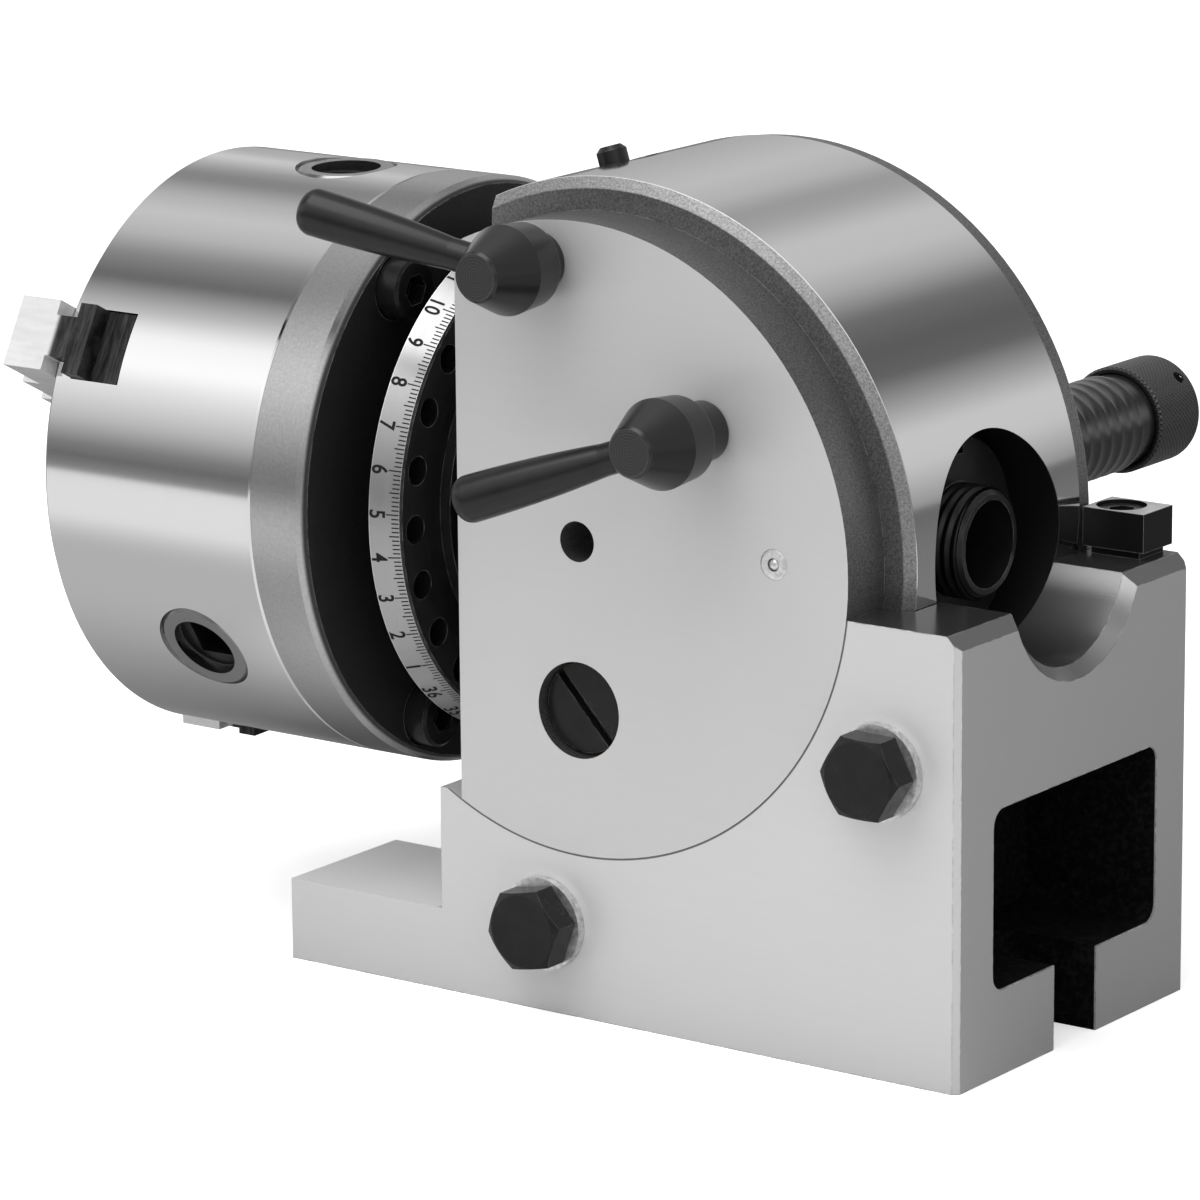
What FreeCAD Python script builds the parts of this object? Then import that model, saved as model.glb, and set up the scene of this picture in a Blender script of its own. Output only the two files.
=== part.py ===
import FreeCAD, Part
import math
import os
import re
import Sketcher
from FreeCAD import Placement, Rotation, Vector

doc = FreeCAD.newDocument("dividing_head")
sheet = doc.addObject("Spreadsheet::Sheet", "Sizes")

# Driving sizes in millimetres and degrees.
# X runs along the spindle towards its tail, Y across the head away from the levers, Z up.
# The swivel axis crosses the spindle axis at the centre height above the base.

BASE_SIZES = {
    "centre_height": 100,
    "near_face": 44,
    "far_face": 43,
    "foot_reach": 75.5,
    "front_reach": 35.5,
    "foot_top": 17.5,
    "column_bevel": 2.8,
    "corner_bevel": 1.2,
    "seat_play": 0.08,
    "cavity_play": 0.35,
    "key_slot_width": 16,
    "keyway_width": 14,
    "keyway_depth": 3,
    "keyway_length": 26,
    "tunnel_corner": 3.5,
    "notch_bevel": 2.5,
    "front_bolt_angle": 6.3,
    "back_bolt_angle": 63.3,
    "front_bolt_turn": -10.5,
    "back_bolt_turn": 1.5,
    "bolt_radius": 5,
    "bolt_flats": 16,
    "bolt_head": 6.3,
    "bolt_reach": 76,
    "washer_radius": 9.85,
    "washer_thickness": 2,
    "block_screw_radius": 3,
    "block_screw_length": 15,
    "block_head_radius": 4.9,
    "block_head_depth": 6,
    "block_socket": 5,
}

BODY_SIZES = {
    "front_plane": 30,
    "chamber_radius": 32,
    "chamber_back": 9.4,
    "centre_hole_radius": 4.2,
    "centre_hole_depth": 12,
    "oiler_z": 1.5,
    "oiler_radius": 3.1,
    "oiler_ball_radius": 1.35,
    "oiler_depth": 7.5,
    "plug_angle": 17.5,
    "plug_radius": 3.2,
    "plug_depth": 14,
    "plug_flat_radius": 9.4,
    "cap_thickness": 5.5,
    "cap_spigot": 12,
    "cap_screw_head": 2.4,
    "cap_screw_radius": 1.5,
    "cap_screw_length": 9,
    "bush_wall": 3,
    "fit": 0.05,
}

SPINDLE_SIZES = {
    "bore_radius": 9,
    "taper_mouth": 11.9,
    "taper_end": 10.4,
    "taper_depth": 60,
    "nose_radius": 18,
    "plate_seat_radius": 24,
    "journal_radius": 22,
    "journal_back": 9,
    "wheel_seat_radius": 17,
    "tail_radius": 16.5,
    "tail_thread_radius": 11.75,
    "tail_thread_depth": 0.8,
    "nut_radius": 21.4,
    "nut_slot": 5,
    "hole_radius": 3,
    "hole_depth": 5.5,
    "hole_phase": 2.5,
    "plate_screw_circle": 31,
    "plate_screw_radius": 2.5,
    "plate_screw_head": 4.6,
    "plate_screw_depth": 4.5,
}

WORM_SIZES = {
    "key_width": 5,
    "key_length": 12,
    "gear_module": 1.25,
    "wheel_teeth": 40,
    "wheel_half_width": 7,
    "wheel_hub_radius": 22,
    "worm_pitch_radius": 10,
    "worm_half_length": 10,
    "thread_width": 1.5,
    "gap_width": 2.1,
    "near_journal": 6,
    "near_bush_wall": 4,
    "worm_chamber": 14,
    "worm_plug_radius": 9.4,
    "worm_plug_slot": 1.8,
    "worm_plug_turn": 47,
    "far_journal": 8,
    "crank_journal": 6,
    "crank_stud": 5,
    "crank_stud_length": 12,
    "sleeve_flange_radius": 23,
    "sleeve_neck_radius": 14.5,
    "sleeve_nose_radius": 12,
    "sleeve_screw_circle": 18.8,
    "sleeve_screw_radius": 2,
    "sleeve_screw_head": 3.5,
    "sleeve_screw_length": 8,
    "disc_pitch_radius": 49.6,
    "disc_row_step": 5,
    "disc_hole_radius": 1.6,
    "disc_hole_depth": 3.4,
    "arm_thickness": 0.9,
    "crank_half_width": 10,
    "crank_angle": 48.1,
    "crank_nut_flats": 17,
    "crank_nut_height": 8,
    "grip_radius": 10.75,
    "grip_waist": 10.2,
    "grip_pitch": 4.3,
    "knob_radius": 11.75,
    "knob_corner": 3,
    "plunger_radius": 3,
    "plunger_tip": 1.5,
    "collar_start": 14.5,
    "collar_radius": 5.8,
    "spring_radius": 4.5,
    "spring_wire": 0.45,
    "spring_turns": 5,
}

LEVER_SIZES = {
    "pin_lever_x": -8.25,
    "lock_lever_x": 31.3,
    "pin_neck": 5.1,
    "lock_neck": 8.65,
    "neck_radius": 6.1,
    "hub_back_radius": 8.6,
    "hub_radius": 9.2,
    "hub_end_radius": 5.2,
    "hub_edge": 7.3,
    "hub_length": 16.9,
    "rod_seat": 6.75,
    "stud_radius": 4.8,
    "stud_cover": 5.5,
    "rod_lean": 16,
    "pin_rod_rise": 13.9,
    "lock_rod_rise": -19.7,
    "rod_start": 6.3,
    "rod_shank": 12,
    "rod_root_radius": 3.3,
    "rod_end_radius": 4.85,
    "rod_bulge": 310,
    "rod_tip_length": 3,
    "rod_tip_arc": 3.2,
    "rod_tip_drop": 2.6,
    "rod_length": 44.5,
    "shaft_radius": 5.5,
    "eccentric_throw": 3.4,
    "eccentric_radius": 1.9,
    "eccentric_rest": 50,
    "eccentric_length": 13,
    "index_pin_radius": 8.4,
    "index_pin_tip": 2.85,
    "index_pin_back": 14,
    "cotter_radius": 13,
    "cotter_gap": 0.6,
    "cotter_end": 18.5,
    "cotter_cover_depth": 4,
}

CHUCK_SIZES = {
    "chuck_radius": 62.5,
    "chuck_bore": 15,
    "chuck_edge": 1.5,
    "back_edge": 2,
    "plate_waist_radius": 30,
    "register_depth": 3.5,
    "screw_phase": 34.5,
    "screw_head_radius": 6.5,
    "screw_proud": 5.2,
    "screw_sunk": 2.8,
    "screw_radius": 4,
    "screw_length": 12,
    "screw_socket": 6,
    "pinion_radius": 10.8,
    "pinion_root": 30,
    "pinion_tip_radius": 6.5,
    "pinion_phase": 1.8,
    "socket_half": 4.4,
    "socket_ring": 7.4,
    "socket_depth": 14,
    "hub_tube_radius": 19,
    "scroll_pitch": 8,
    "spiral_start": 24,
    "spiral_turns": 3.4,
    "ridge_width": 3.4,
    "jaw_half": 7.75,
    "jaw_neck": 4.5,
    "jaw_inner": 19,
    "jaw_step": 13,
    "jaw_step_height": 4.9,
    "first_tooth": 34,
    "tooth_width": 3.1,
    "tooth_half_length": 3.6,
    "jaw_play": 0.15,
}

# Faces and radii that follow another one: what each is measured from, and by how much.

MEASURED_FROM = {
    "front_top": ("centre_height", -56.4),
    "column_top": ("centre_height", -7.5),
    "tunnel_roof": ("column_top", -37.5),
    "tunnel_floor": ("foot_top", 0.3),
    "drum_radius": ("chamber_radius", 40.1),
    "back_reach": ("drum_radius", 18.9),
    "tunnel_front": ("back_reach", -31),
    "tunnel_half": ("near_face", -13),
    "foot_slot_centre": ("foot_reach", -19.5),
    "back_slot_centre": ("back_reach", -17),
    "bolt_circle": ("drum_radius", 9.45),
    "block_front": ("drum_radius", 0.4),
    "block_back": ("block_front", 14.4),
    "block_near": ("far_face", -11.5),
    "block_far": ("far_face", -0.1),
    "block_bottom": ("column_top", 1.6),
    "block_top": ("column_top", 9.7),
    "block_screw_x": ("block_front", 5.7),
    "block_screw_y": ("block_near", 5.8),
    "notch_radius": ("nut_radius", 0.9),
    "boss_radius": ("drum_radius", -6.8),
    "rim_radius": ("drum_radius", -2.4),
    "far_rim_radius": ("drum_radius", -0.5),
    "shoulder_near": ("near_face", -12.9),
    "drum_near": ("near_face", -14.4),
    "drum_far": ("far_face", -12),
    "far_rim": ("far_face", -7.6),
    "recess_radius": ("nut_radius", 1.9),
    "recess_floor": ("drum_radius", -19.1),
    "oiler_x": ("boss_radius", -17.5),
    "plug_top": ("drum_radius", 3.7),
    "cap_radius": ("chamber_radius", 5.4),
    "cap_screw_circle": ("chamber_radius", 2.6),
    "flange_back": ("front_plane", 6.4),
    "flange_front": ("flange_back", 2.6),
    "flange_radius": ("cap_radius", 0.8),
    "band_back": ("flange_front", 0.4),
    "band_front": ("band_back", 6.2),
    "nose_shoulder": ("flange_front", 8.6),
    "back_face": ("nose_shoulder", 8.1),
    "chuck_joint": ("back_face", 13.5),
    "nose_end": ("chuck_joint", 1.8),
    "tail_end": ("nut_back", 8),
    "nut_front": ("recess_floor", 1),
    "nut_back": ("nut_front", 8),
    "pin_lever_z": ("boss_radius", -8.9),
    "lock_lever_z": ("tail_radius", 10),
    "hole_circle": ("pin_lever_z", -9.8),
    "band_inner": ("hole_circle", 3.3),
    "plate_rim": ("hole_circle", 4.3),
    "band_back_radius": ("hole_circle", 4.8),
    "band_front_radius": ("hole_circle", 6.9),
    "index_pin_rest": ("flange_front", -1.4),
    "worm_plug_face": ("near_face", -2.5),
    "worm_plug_back": ("worm_plug_face", -4.1),
    "sleeve_flange": ("far_face", 4.5),
    "disc_front": ("disc_back", 4),
    "disc_radius": ("disc_pitch_radius", 5),
    "sleeve_end": ("disc_front", 4),
    "crank_front": ("sleeve_end", 0.3),
    "crank_back": ("crank_front", 6),
    "plunger_rest": ("disc_front", 2.2),
    "grip_end": ("crank_back", 34.1),
    "knob_end": ("grip_end", 19),
    "chuck_front": ("chuck_joint", 56.6),
    "back_bright_radius": ("chuck_radius", -1.6),
    "register_radius": ("chuck_radius", -15),
    "screw_circle": ("chuck_radius", -9.1),
    "pinion_axis": ("chuck_joint", 21.3),
    "pinion_face": ("chuck_radius", -0.5),
    "pinion_shoulder": ("scroll_radius", -6),
    "cavity_radius": ("chuck_radius", -8),
    "cavity_front": ("chuck_front", -16.9),
    "scroll_radius": ("cavity_radius", -0.5),
    "scroll_plate": ("cavity_front", -3.5),
    "scroll_top": ("cavity_front", -0.4),
    "cover_front": ("pinion_axis", 5.5),
    "cover_back": ("chuck_joint", 4),
    "groove_back": ("chuck_front", -5.3),
    "jaw_slot_back": ("cavity_front", -1.2),
    "tooth_way_outer": ("chuck_radius", -3.5),
    "jaw_outer": ("chuck_radius", 3.2),
    "jaw_top": ("chuck_front", 10.5),
    "jaw_back": ("cavity_front", -0.2),
    "jaw_cut_back": ("jaw_top", -20.3),
    "jaw_cut_outer": ("chuck_radius", -1.2),
}

SIZES = {}
for group in (BASE_SIZES, BODY_SIZES, SPINDLE_SIZES, WORM_SIZES, LEVER_SIZES, CHUCK_SIZES):
    SIZES.update(group)
for name, (start, offset) in MEASURED_FROM.items():
    SIZES[name + "_offset"] = offset
for row, (alias, amount) in enumerate(SIZES.items(), start=1):
    sheet.set("A%d" % row, alias)
    sheet.set("B%d" % row, str(amount))
    sheet.setAlias("B%d" % row, alias)
doc.recompute()

FORMULAS = {name: "%s + %s_offset" % (start, name) for name, (start, offset) in MEASURED_FROM.items()}
FORMULAS.update({
    "front_bolt_x": "-bolt_circle * sin(front_bolt_angle)",
    "front_bolt_z": "centre_height - bolt_circle * cos(front_bolt_angle)",
    "back_bolt_x": "bolt_circle * sin(back_bolt_angle)",
    "back_bolt_z": "centre_height - bolt_circle * cos(back_bolt_angle)",
    "bush_radius": "journal_radius + bush_wall",
    "near_bush_radius": "near_journal + near_bush_wall",
    "worm_drop": "wheel_teeth * gear_module / 2 + worm_pitch_radius",
    "disc_back": "screw_circle + screw_head_radius + 0.7",
    "pin_hub_length": "pin_neck + hub_length",
    "lock_hub_length": "lock_neck + hub_length",
})

FUNCTIONS = ("abs", "sin", "cos", "tan", "sqrt", "pi")
ALONG = {"X": Rotation(Vector(0, 1, 0), 90), "Y": Rotation(Vector(1, 0, 0), -90), "Z": Rotation()}
# Sketch planes: side view (X, Z), plan view (X, Y) and cross-section (Y, Z).
SIDE = Rotation(Vector(1, 0, 0), 90)
PLAN = Rotation()
CROSS = Rotation(Vector(1, 1, 1), 120)
OVERSHOOT = 1
FULL_TURN = 360
parts = {}


def from_sheet(text):
    """The same expression with every size looked up in the sheet."""
    def look_up(match):
        word = match.group(0)
        if word in FORMULAS:
            return "(" + from_sheet(FORMULAS[word]) + ")"
        return word if word in FUNCTIONS else "Sizes." + word
    return re.sub(r"[a-z_]{2,}", look_up, str(text))


def number(text):
    return float(sheet.evalExpression(from_sheet(text)))


def bind(thing, **properties):
    for name, text in properties.items():
        thing.setExpression(name.replace("__", "."), from_sheet(text))


def place(thing, x="0", y="0", z="0", turn=None):
    if turn is not None:
        thing.Placement = Placement(Vector(), turn)
    bind(thing, Placement__Base__x=x, Placement__Base__y=y, Placement__Base__z=z)
    return thing


def rod(name, radius, start, end, axis, across=("0", "0")):
    """A cylinder from start to end along an axis, through the point across it."""
    thing = doc.addObject("Part::Cylinder", name)
    bind(thing, Radius=radius, Height="(%s) - (%s)" % (end, start))
    u, v = across
    spot = {"X": (start, u, v), "Y": (u, start, v), "Z": (u, v, start)}[axis]
    return place(thing, *spot, turn=ALONG[axis])


def block(name, x, y, z):
    """A box given by its lower and upper limit along each axis."""
    thing = doc.addObject("Part::Box", name)
    spans = ["(%s) - (%s)" % (high, low) for low, high in (x, y, z)]
    bind(thing, Length=spans[0], Width=spans[1], Height=spans[2])
    return place(thing, x[0], y[0], z[0])


def rounded_block(name, x, y, z, corner):
    """A box with its four edges along X rounded."""
    inner_y = ("%s + %s" % (y[0], corner), "%s - %s" % (y[1], corner))
    inner_z = ("%s + %s" % (z[0], corner), "%s - %s" % (z[1], corner))
    pieces = [block(name + "_wide", x, y, inner_z), block(name + "_tall", x, inner_y, z)]
    for index, across in enumerate((v, w) for v in inner_y for w in inner_z):
        pieces.append(rod("%s_corner_%d" % (name, index), corner, x[0], x[1], "X", across))
    return join(name, *pieces)


def arc_between(start, end, radius):
    """The short arc from start to end; a positive radius bulges to the left of the way there."""
    chord = end - start
    half = chord.Length / 2
    rise = abs(radius) - math.sqrt(max(radius * radius - half * half, 0))
    left = Vector(-chord.y, chord.x, 0).normalize()
    middle = (start + end) * 0.5 + left * math.copysign(rise, radius)
    return Part.Arc(start, middle, end)


def outline(name, corners, rotation):
    """A closed sketch; each corner is (u, v), or (u, v, radius) where an arc leaves it."""
    sketch = doc.addObject("Sketcher::SketchObject", name)
    sketch.Placement = Placement(Vector(), rotation)
    spots = [Vector(number(corner[0]), number(corner[1]), 0) for corner in corners]
    count = len(corners)
    ends = []
    for index, corner in enumerate(corners):
        start, end = spots[index], spots[(index + 1) % count]
        if len(corner) == 3:
            sketch.addGeometry(arc_between(start, end, number(corner[2])), False)
            begins_there = sketch.Geometry[index].StartPoint.distanceToPoint(start) < 0.001
            ends.append((1, 2) if begins_there else (2, 1))
        else:
            sketch.addGeometry(Part.LineSegment(start, end), False)
            ends.append((1, 2))
    for index in range(count):
        after = (index + 1) % count
        sketch.addConstraint(
            Sketcher.Constraint("Coincident", index, ends[index][1], after, ends[after][0]))
    for index, corner in enumerate(corners):
        where = (("DistanceX", spots[index].x, corner[0]), ("DistanceY", spots[index].y, corner[1]))
        for kind, amount, text in where:
            rule = sketch.addConstraint(
                Sketcher.Constraint(kind, -1, 1, index, ends[index][0], amount))
            sketch.setExpression("Constraints[%d]" % rule, from_sheet(text))
        if len(corner) == 3:
            rule = sketch.addConstraint(
                Sketcher.Constraint("Radius", index, abs(number(corner[2]))))
            sketch.setExpression("Constraints[%d]" % rule, from_sheet("abs(%s)" % corner[2]))
    return sketch


def turned(name, axis, corners):
    """A turned solid; each corner is (distance along the axis, radius)."""
    plane = {"X": SIDE, "Y": CROSS}[axis]
    thing = doc.addObject("Part::Revolution", name)
    thing.Source = outline(name + "_profile", corners, plane)
    thing.Axis = {"X": Vector(1, 0, 0), "Y": Vector(0, 1, 0)}[axis]
    thing.Base = Vector()
    thing.Angle = FULL_TURN
    thing.Solid = True
    return thing


def slab(name, plane, corners, start, end):
    """A flat outline carried straight from start to end, square to its plane."""
    thing = doc.addObject("Part::Extrusion", name)
    sketch = outline(name + "_outline", corners, plane)
    if plane is SIDE:
        thing.Dir = Vector(0, 1, 0)
        bind(sketch, Placement__Base__y=start)
    elif plane is CROSS:
        thing.Dir = Vector(1, 0, 0)
        bind(sketch, Placement__Base__x=start)
    else:
        thing.Dir = Vector(0, 0, 1)
        bind(sketch, Placement__Base__z=start)
    thing.Base = sketch
    thing.DirMode = "Custom"
    thing.Solid = True
    bind(thing, LengthFwd="(%s) - (%s)" % (end, start))
    return thing


def join(name, *pieces):
    thing = doc.addObject("Part::MultiFuse", name)
    thing.Shapes = list(pieces)
    thing.Refine = True
    return thing


def cut(name, body, *tools):
    thing = doc.addObject("Part::Cut", name)
    thing.Base = body
    thing.Tool = tools[0] if len(tools) == 1 else join(name + "_tools", *tools)
    thing.Refine = True
    return thing


def shared(name, first, second):
    thing = doc.addObject("Part::Common", name)
    thing.Base = first
    thing.Tool = second
    return thing


def group(name, *pieces):
    thing = doc.addObject("Part::Compound", name)
    thing.Links = list(pieces)
    return thing


def copies(name, piece, count, axis, phase="0"):
    """The piece again at equal angles about an axis through the origin."""
    made = []
    for index in range(count):
        link = doc.addObject("Part::Compound", "%s_%d" % (name, index))
        link.Links = [piece]
        angle = number(phase) + FULL_TURN * index / count
        link.Placement = Placement(Vector(), Rotation(axis, angle))
        made.append(link)
    return made


def finish(label, thing, x="0", y="0", z="0", turn=None):
    """Names a sub-part and gives it its place in the head."""
    thing.Label = label
    parts[label] = place(thing, x, y, z, turn)


# The base casting and what is fixed to it.

def base_casting():
    side = slab("base_side", SIDE, [
        ("-foot_reach", "0"),
        ("back_reach", "0"),
        ("back_reach", "column_top - column_bevel"),
        ("back_reach - column_bevel", "column_top"),
        ("0", "column_top"),
        ("0", "front_top"),
        ("-front_reach", "front_top"),
        ("-front_reach", "foot_top"),
        ("-foot_reach", "foot_top"),
    ], "-near_face", "far_face")
    plan = slab("base_plan", PLAN, [
        ("-foot_reach", "-near_face"),
        ("back_reach - corner_bevel", "-near_face"),
        ("back_reach", "corner_bevel - near_face"),
        ("back_reach", "far_face - corner_bevel"),
        ("back_reach - corner_bevel", "far_face"),
        ("-foot_reach", "far_face"),
    ], "0", "column_top")
    centre = ("0", "centre_height")
    beyond_near = "-near_face - %d" % OVERSHOOT
    beyond_far = "far_face + %d" % OVERSHOOT
    beyond_back = "back_reach + %d" % OVERSHOOT
    below = "-%d" % OVERSHOOT
    slot_half = "key_slot_width / 2"
    slot_side = ("-key_slot_width / 2", slot_half)
    tools = [
        rod("cheek_seat", "boss_radius + seat_play", beyond_near, beyond_far, "Y", centre),
        rod("drum_cavity", "drum_radius + cavity_play", "-shoulder_near - cavity_play",
            "far_rim + cavity_play", "Y", centre),
        rounded_block("tunnel", ("tunnel_front", beyond_back), ("-tunnel_half", "tunnel_half"),
                      ("tunnel_floor", "tunnel_roof"), "tunnel_corner"),
        block("back_slot", ("back_slot_centre", beyond_back), slot_side,
              (below, "tunnel_floor + %d" % OVERSHOOT)),
        rod("back_slot_end", slot_half, below, "tunnel_floor + %d" % OVERSHOOT, "Z",
            ("back_slot_centre", "0")),
        block("foot_slot", ("-foot_reach - %d" % OVERSHOOT, "-foot_slot_centre"), slot_side,
              (below, "foot_top + %d" % OVERSHOOT)),
        rod("foot_slot_end", slot_half, below, "foot_top + %d" % OVERSHOOT, "Z",
            ("-foot_slot_centre", "0")),
        block("front_keyway", ("-foot_slot_centre", "keyway_length - foot_slot_centre"),
              ("-keyway_width / 2", "keyway_width / 2"), (below, "keyway_depth")),
        block("back_keyway", ("back_slot_centre - keyway_length", "back_slot_centre"),
              ("-keyway_width / 2", "keyway_width / 2"), (below, "keyway_depth")),
        rod("tail_notch", "notch_radius", "0", beyond_back, "X", ("0", "centre_height")),
        notch_bevel(),
        rod("block_thread", "block_screw_radius + fit", "column_top - 14", "column_top + 1", "Z",
            ("block_screw_x", "block_screw_y")),
    ]
    for end in ("front", "back"):
        tools.append(rod(end + "_bolt_hole", "bolt_radius + 2 * fit", beyond_near, beyond_far, "Y",
                         (end + "_bolt_x", end + "_bolt_z")))
    finish("base_casting", cut("base", shared("base_block", side, plan), *tools))


def notch_bevel():
    bevel = doc.addObject("Part::Cone", "notch_bevel")
    bind(bevel, Radius1="notch_radius", Radius2="notch_radius + notch_bevel + 1",
         Height="notch_bevel + 1")
    return place(bevel, "back_reach - notch_bevel", "0", "centre_height", ALONG["X"])


def clamp_bolts():
    bolts = []
    washers = []
    for end in ("front", "back"):
        spot = (end + "_bolt_x", end + "_bolt_z")
        bolts.append(hex_bolt(end + "_bolt", spot, number(end + "_bolt_turn")))
        ring = rod(end + "_washer_disc", "washer_radius", "-near_face - washer_thickness",
                   "-near_face - fit", "Y", spot)
        hole = rod(end + "_washer_hole", "bolt_radius + 0.3", "-near_face - 3", "-near_face + 1",
                   "Y", spot)
        washers.append(cut(end + "_washer", ring, hole))
    finish("clamp_bolts", group("clamp_bolts", *bolts))
    finish("clamp_washers", group("clamp_washers", *washers))


def hex_bolt(name, spot, turn):
    """A bolt across the base: six-sided head with its corners turned off, and a plain shank."""
    prism = doc.addObject("Part::Prism", name + "_hexagon")
    prism.Polygon = 6
    bind(prism, Circumradius="bolt_flats / sqrt(3)", Height="bolt_head")
    head_face = "-near_face - washer_thickness - fit - bolt_head"
    place(prism, spot[0], head_face, spot[1], ALONG["Y"] * Rotation(Vector(0, 0, 1), turn))
    dome = turned(name + "_dome", "Y", [
        ("0", "0"),
        ("0", "bolt_flats / 2 - 0.4"),
        ("1", "bolt_flats / sqrt(3)"),
        ("bolt_head", "bolt_flats / sqrt(3)"),
        ("bolt_head", "0"),
    ])
    place(dome, spot[0], head_face, spot[1])
    shank = rod(name + "_shank", "bolt_radius", "-near_face - washer_thickness - 1",
                "bolt_reach - near_face", "Y", spot)
    return join(name, shared(name + "_head", prism, dome), shank)


def zero_block():
    middle = ("block_screw_x", "block_screw_y")
    upper = block("zero_block_upper", ("block_front", "block_back"), ("block_near", "block_far"),
                  ("block_bottom", "block_top"))
    foot = block("zero_block_foot", ("block_front + 1.5", "block_back - 1.5"),
                 ("block_near + 1", "block_far - 1"), ("column_top", "block_bottom"))
    bore = rod("zero_block_bore", "block_screw_radius + 0.2", "column_top - 1", "block_top + 1",
               "Z", middle)
    sink = rod("zero_block_sink", "block_head_radius + 0.3", "block_top - block_head_depth - 0.6",
               "block_top + 1", "Z", middle)
    finish("zero_block", cut("zero_block", join("zero_block_body", upper, foot), bore, sink))
    head = rod("block_screw_head", "block_head_radius", "block_top - block_head_depth - 0.5",
               "block_top - 0.8", "Z", middle)
    shank = rod("block_screw_shank", "block_screw_radius",
                "block_top - block_head_depth - block_screw_length", "block_top - 5", "Z", middle)
    socket = doc.addObject("Part::Prism", "block_screw_socket")
    socket.Polygon = 6
    bind(socket, Circumradius="block_socket / sqrt(3)", Height="4")
    place(socket, middle[0], middle[1], "block_top - 3.8")
    finish("zero_block_screw",
           cut("zero_block_screw", join("block_screw_blank", head, shank), socket))


# The rotary body between the cheeks. Its sub-parts are drawn about the swivel centre.

def rotary_body():
    drum = turned("drum", "Y", [
        ("-near_face", "0"),
        ("-near_face", "boss_radius"),
        ("-shoulder_near", "boss_radius"),
        ("-shoulder_near", "rim_radius"),
        ("-drum_near", "drum_radius"),
        ("drum_far", "drum_radius"),
        ("drum_far + 0.4", "far_rim_radius"),
        ("far_rim", "far_rim_radius"),
        ("far_rim", "boss_radius"),
        ("far_face", "boss_radius"),
        ("far_face", "0"),
    ])
    beyond_near = "-near_face - %d" % OVERSHOOT
    beyond_far = "far_face + %d" % OVERSHOOT
    pin_spot = ("-hole_circle * sin(hole_phase)", "hole_circle * cos(hole_phase)")
    pin_lever = ("pin_lever_x", "pin_lever_z")
    lock_lever = ("lock_lever_x", "lock_lever_z")
    worm = ("0", "-worm_drop")
    tools = [
        block("front_flat", ("-drum_radius - 1", "-front_plane"), (beyond_near, beyond_far),
              ("-drum_radius - 1", "drum_radius + 1")),
        rod("wheel_chamber", "chamber_radius", "-front_plane - 1", "chamber_back", "X"),
        rod("tail_bore", "tail_radius + fit", "0", "recess_floor + 1", "X"),
        rod("tail_recess", "recess_radius", "recess_floor", "drum_radius + 1", "X"),
        rod("worm_bore", "near_bush_radius + fit", beyond_near, "0", "Y", worm),
        rod("worm_chamber_bore", "worm_chamber + fit", "-worm_half_length - 2", beyond_far, "Y",
            worm),
        rod("index_pin_bore", "index_pin_radius + fit", "-front_plane - 1", "index_pin_back + 4",
            "X", pin_spot),
        rod("pin_lever_bore", "shaft_radius + fit", beyond_near, "8", "Y", pin_lever),
        rod("lock_stud_bore", "stud_radius + 2 * fit", beyond_near, "0", "Y", lock_lever),
        rod("cotter_bore", "cotter_radius + fit", "-cotter_end - 0.5", beyond_far, "Y", lock_lever),
        rod("oiler_bore", "oiler_radius + fit", beyond_near, "oiler_depth + 0.5 - near_face", "Y",
            ("oiler_x", "oiler_z")),
        rod("oiler_way", "1.2", "6 - near_face", "0", "Y", ("oiler_x", "oiler_z")),
        rod("centre_hole", "centre_hole_radius", beyond_near, "centre_hole_depth - near_face", "Y"),
        *copies("cap_thread_at", rod("cap_thread", "cap_screw_radius + fit", "-front_plane - 1",
                                     "cap_screw_length + 1 - front_plane", "X",
                                     ("0", "cap_screw_circle")),
                3, Vector(1, 0, 0), "60"),
        sleeve_threads(),
        radial_rod("plug_bore", "plug_radius + fit", "drum_radius - plug_depth", "drum_radius + 1"),
        radial_rod("plug_flat", "plug_flat_radius", "drum_radius - 0.6", "drum_radius + 3"),
    ]
    finish("rotary_body", cut("rotary_body", drum, *tools), z="centre_height")


def sleeve_threads():
    hole = rod("sleeve_thread", "sleeve_screw_radius + fit",
               "far_face - sleeve_screw_length - 1", "far_face + 1", "Y",
               ("sleeve_screw_circle", "0"))
    holes = group("sleeve_threads", *copies("sleeve_thread_at", hole, 3, Vector(0, 1, 0), "30"))
    return place(holes, z="-worm_drop")


def radial_rod(name, radius, inner, outer):
    """A cylinder square to the swivel axis, leaning forward by the plug's angle."""
    thing = doc.addObject("Part::Cylinder", name)
    bind(thing, Radius=radius, Height="(%s) - (%s)" % (outer, inner))
    lean = Rotation(Vector(0, 1, 0), -number("plug_angle"))
    return place(thing, "-(%s) * sin(plug_angle)" % inner, "0", "(%s) * cos(plug_angle)" % inner,
                 lean)


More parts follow.
